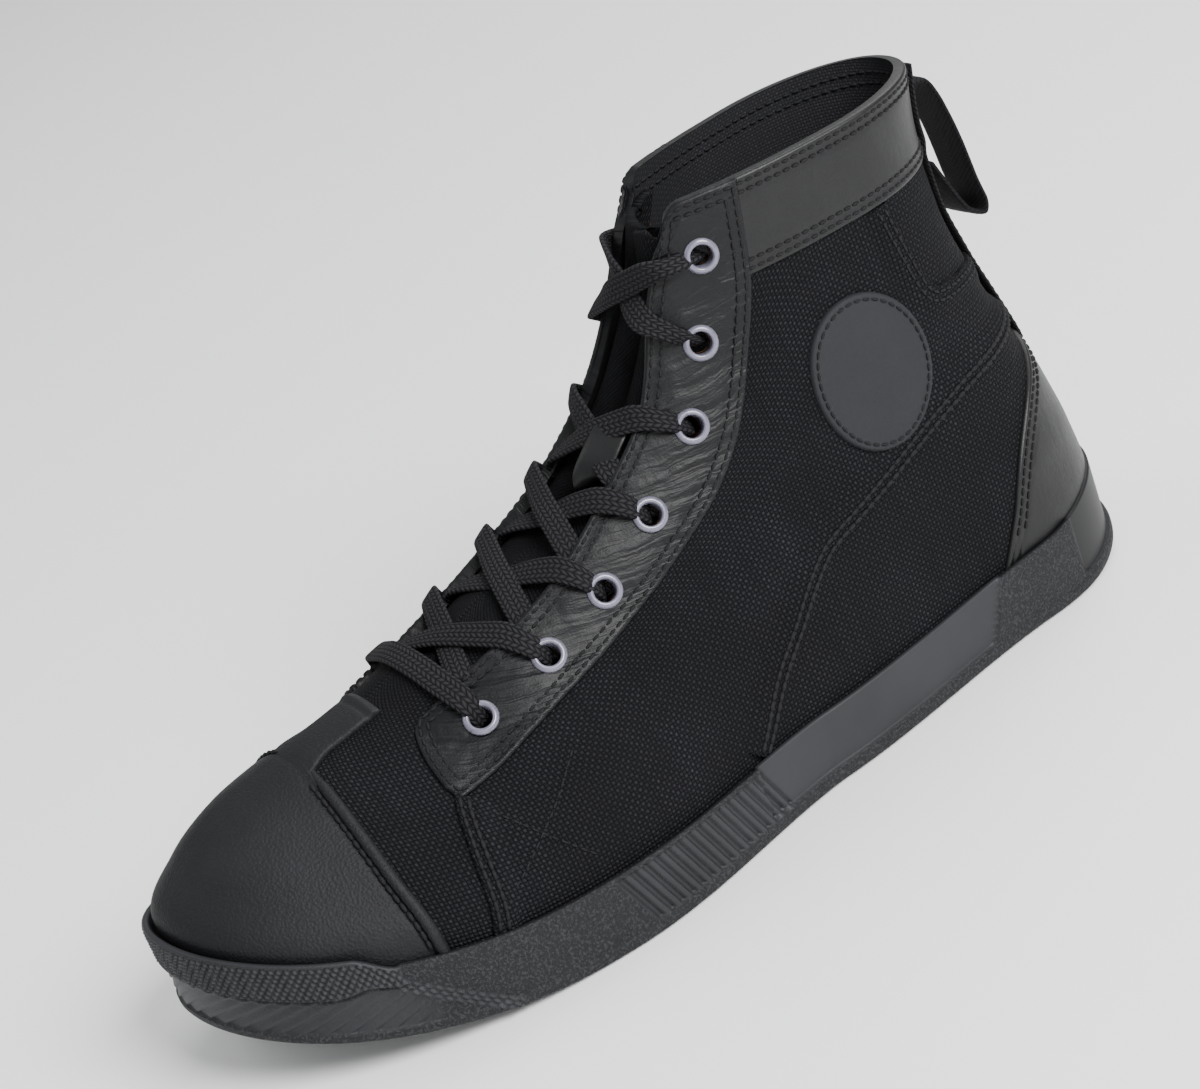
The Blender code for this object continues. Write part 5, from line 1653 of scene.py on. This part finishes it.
STITCH_KINDS = {"seam": (2.35 * MM, 0.46 * MM), "rope": (3.1 * MM, 0.66 * MM), "faint": (2.2 * MM, 0.34 * MM)}


def build_stitches(looks):
    """Every noted row of stitches, one object for each kind of thread."""
    for kind, (length, radius) in STITCH_KINDS.items():
        rows = SEWN.get(kind, [])
        if not rows:
            continue
        centre, along, up = [np.concatenate(part) for part in zip(*rows)]
        mesh = bpy.data.meshes.new(kind + "_points")
        mesh.vertices.add(len(centre))
        mesh.vertices.foreach_set("co", (centre + up * radius * 0.1).astype(np.float32).ravel())
        direction = mesh.attributes.new("along", "FLOAT_VECTOR", "POINT")
        direction.data.foreach_set("vector", along.astype(np.float32).ravel())
        source = bpy.data.objects.new(kind + "_source", mesh)
        bpy.context.scene.collection.objects.link(source)
        tree = stitch_tree(kind + "_stitches", length, radius, looks["thread"])
        step = source.modifiers.new("stitches", "NODES")
        step.node_group = tree
        values = {"Length": length, "Radius": radius}
        for item in tree.interface.items_tree:
            if item.item_type == "SOCKET" and item.in_out == "INPUT" and item.name in values:
                step[item.identifier] = values[item.name]
        graph = bpy.context.evaluated_depsgraph_get()
        made = bpy.data.meshes.new_from_object(source.evaluated_get(graph))
        bpy.data.objects.remove(source)
        piece = bpy.data.objects.new("stitches_" + kind, made)
        bpy.context.scene.collection.objects.link(piece)
        finish_piece(piece, looks["thread"])


def build_floor(looks):
    """Plain pale floor."""
    half = 6.0
    mesh = bpy.data.meshes.new("floor")
    mesh.from_pydata([(-half, -half, 0), (half, -half, 0), (half, half, 0), (-half, half, 0)], [], [(0, 1, 2, 3)])
    floor = bpy.data.objects.new("floor", mesh)
    bpy.context.scene.collection.objects.link(floor)
    look = Look("floor", roughness=0.6)
    grain = look.noise(look.place(), 4.0, 2.0)
    mesh.materials.append(look.finish(Base_Color=look.mix(grain, (0.96, 0.96, 0.96), (0.98, 0.98, 0.98))))


LIGHT_COLUMNS = "name azimuth elevation distance size power".split()
LIGHTS = (
    ("key", 106.0, 44.0, 1.7, 1.0, 56.0),
    ("fill", 62.0, 16.0, 2.2, 1.6, 12.0),
    ("rim", 210.0, 45.0, 1.8, 1.2, 16.0),
    ("front", -35.0, 45.0, 2.0, 1.4, 10.0),
)


def direction_of(azimuth, elevation):
    a, e = math.radians(azimuth), math.radians(elevation)
    return Vector((math.sin(a) * math.cos(e), -math.cos(a) * math.cos(e), math.sin(e)))


def build_lights():
    target = Vector((0, -0.10, 0.06))
    for name, azimuth, elevation, distance, size, power in LIGHTS:
        data = bpy.data.lights.new(name, "AREA")
        data.shape = "DISK"
        data.size = size
        data.energy = power
        lamp = bpy.data.objects.new(name, data)
        bpy.context.scene.collection.objects.link(lamp)
        way = direction_of(azimuth, elevation)
        lamp.location = target + way * distance
        lamp.rotation_euler = way.to_track_quat("Z", "Y").to_euler()
    world = bpy.data.worlds.new("soft_room")
    world.use_nodes = True
    world.node_tree.nodes["Background"].inputs["Color"].default_value = (0.96, 0.985, 1.0, 1)
    world.node_tree.nodes["Background"].inputs["Strength"].default_value = 0.45
    bpy.context.scene.world = world


VIEW_AZIMUTH = 65.1
VIEW_ELEVATION = 24.8
VIEW_ROLL = 21.0
VIEW_DISTANCE = 766 * MM
VIEW_TARGET = Vector((0, -105.7 * MM, 75 * MM))
VIEW_LENS = 86.9


def build_camera():
    """Camera at the photo's angle, rolled with it."""
    back = direction_of(VIEW_AZIMUTH, VIEW_ELEVATION)
    a, r = math.radians(VIEW_AZIMUTH), math.radians(VIEW_ROLL)
    right = Vector((math.cos(a), math.sin(a), 0))
    up = back.cross(right)
    data = bpy.data.cameras.new("camera")
    data.lens = VIEW_LENS
    data.sensor_width = 36
    data.sensor_fit = "HORIZONTAL"
    data.clip_start = 0.02
    camera = bpy.data.objects.new("camera", data)
    bpy.context.scene.collection.objects.link(camera)
    x = right * math.cos(r) - up * math.sin(r)
    y = right * math.sin(r) + up * math.cos(r)
    turn = Matrix((x, y, back)).transposed().to_4x4()
    camera.matrix_world = Matrix.Translation(VIEW_TARGET + back * VIEW_DISTANCE) @ turn
    bpy.context.scene.camera = camera


def main():
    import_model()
    looks = {
        "canvas": canvas(), "fine_canvas": fine_canvas(), "lining": lining_cloth(), "leather": leather(),
        "smooth_leather": smooth_leather(), "cap": cap_rubber(), "rubber": sole_rubber(),
        "badge": badge_rubber(), "lace": lace_braid(), "webbing": chevron_webbing(), "enamel": enamel(),
        "brass": brass(), "thread": thread(), "sock": sock_foam(),
    }
    build_upper(looks)
    build_lining(looks)
    build_cuff(looks)
    build_counter(looks)
    build_eyestays(looks)
    build_toe_cap(looks)
    build_cap_tab(looks)
    build_piping(looks)
    build_patch(looks)
    build_seam_edges(looks)
    build_webbing(looks)
    build_pull_loop(looks)
    build_tongue(looks)
    build_eyelets(looks)
    build_laces(looks)
    build_outsole(looks)
    build_insole(looks)
    build_stitches(looks)
    build_floor(looks)
    build_lights()
    build_camera()


main()
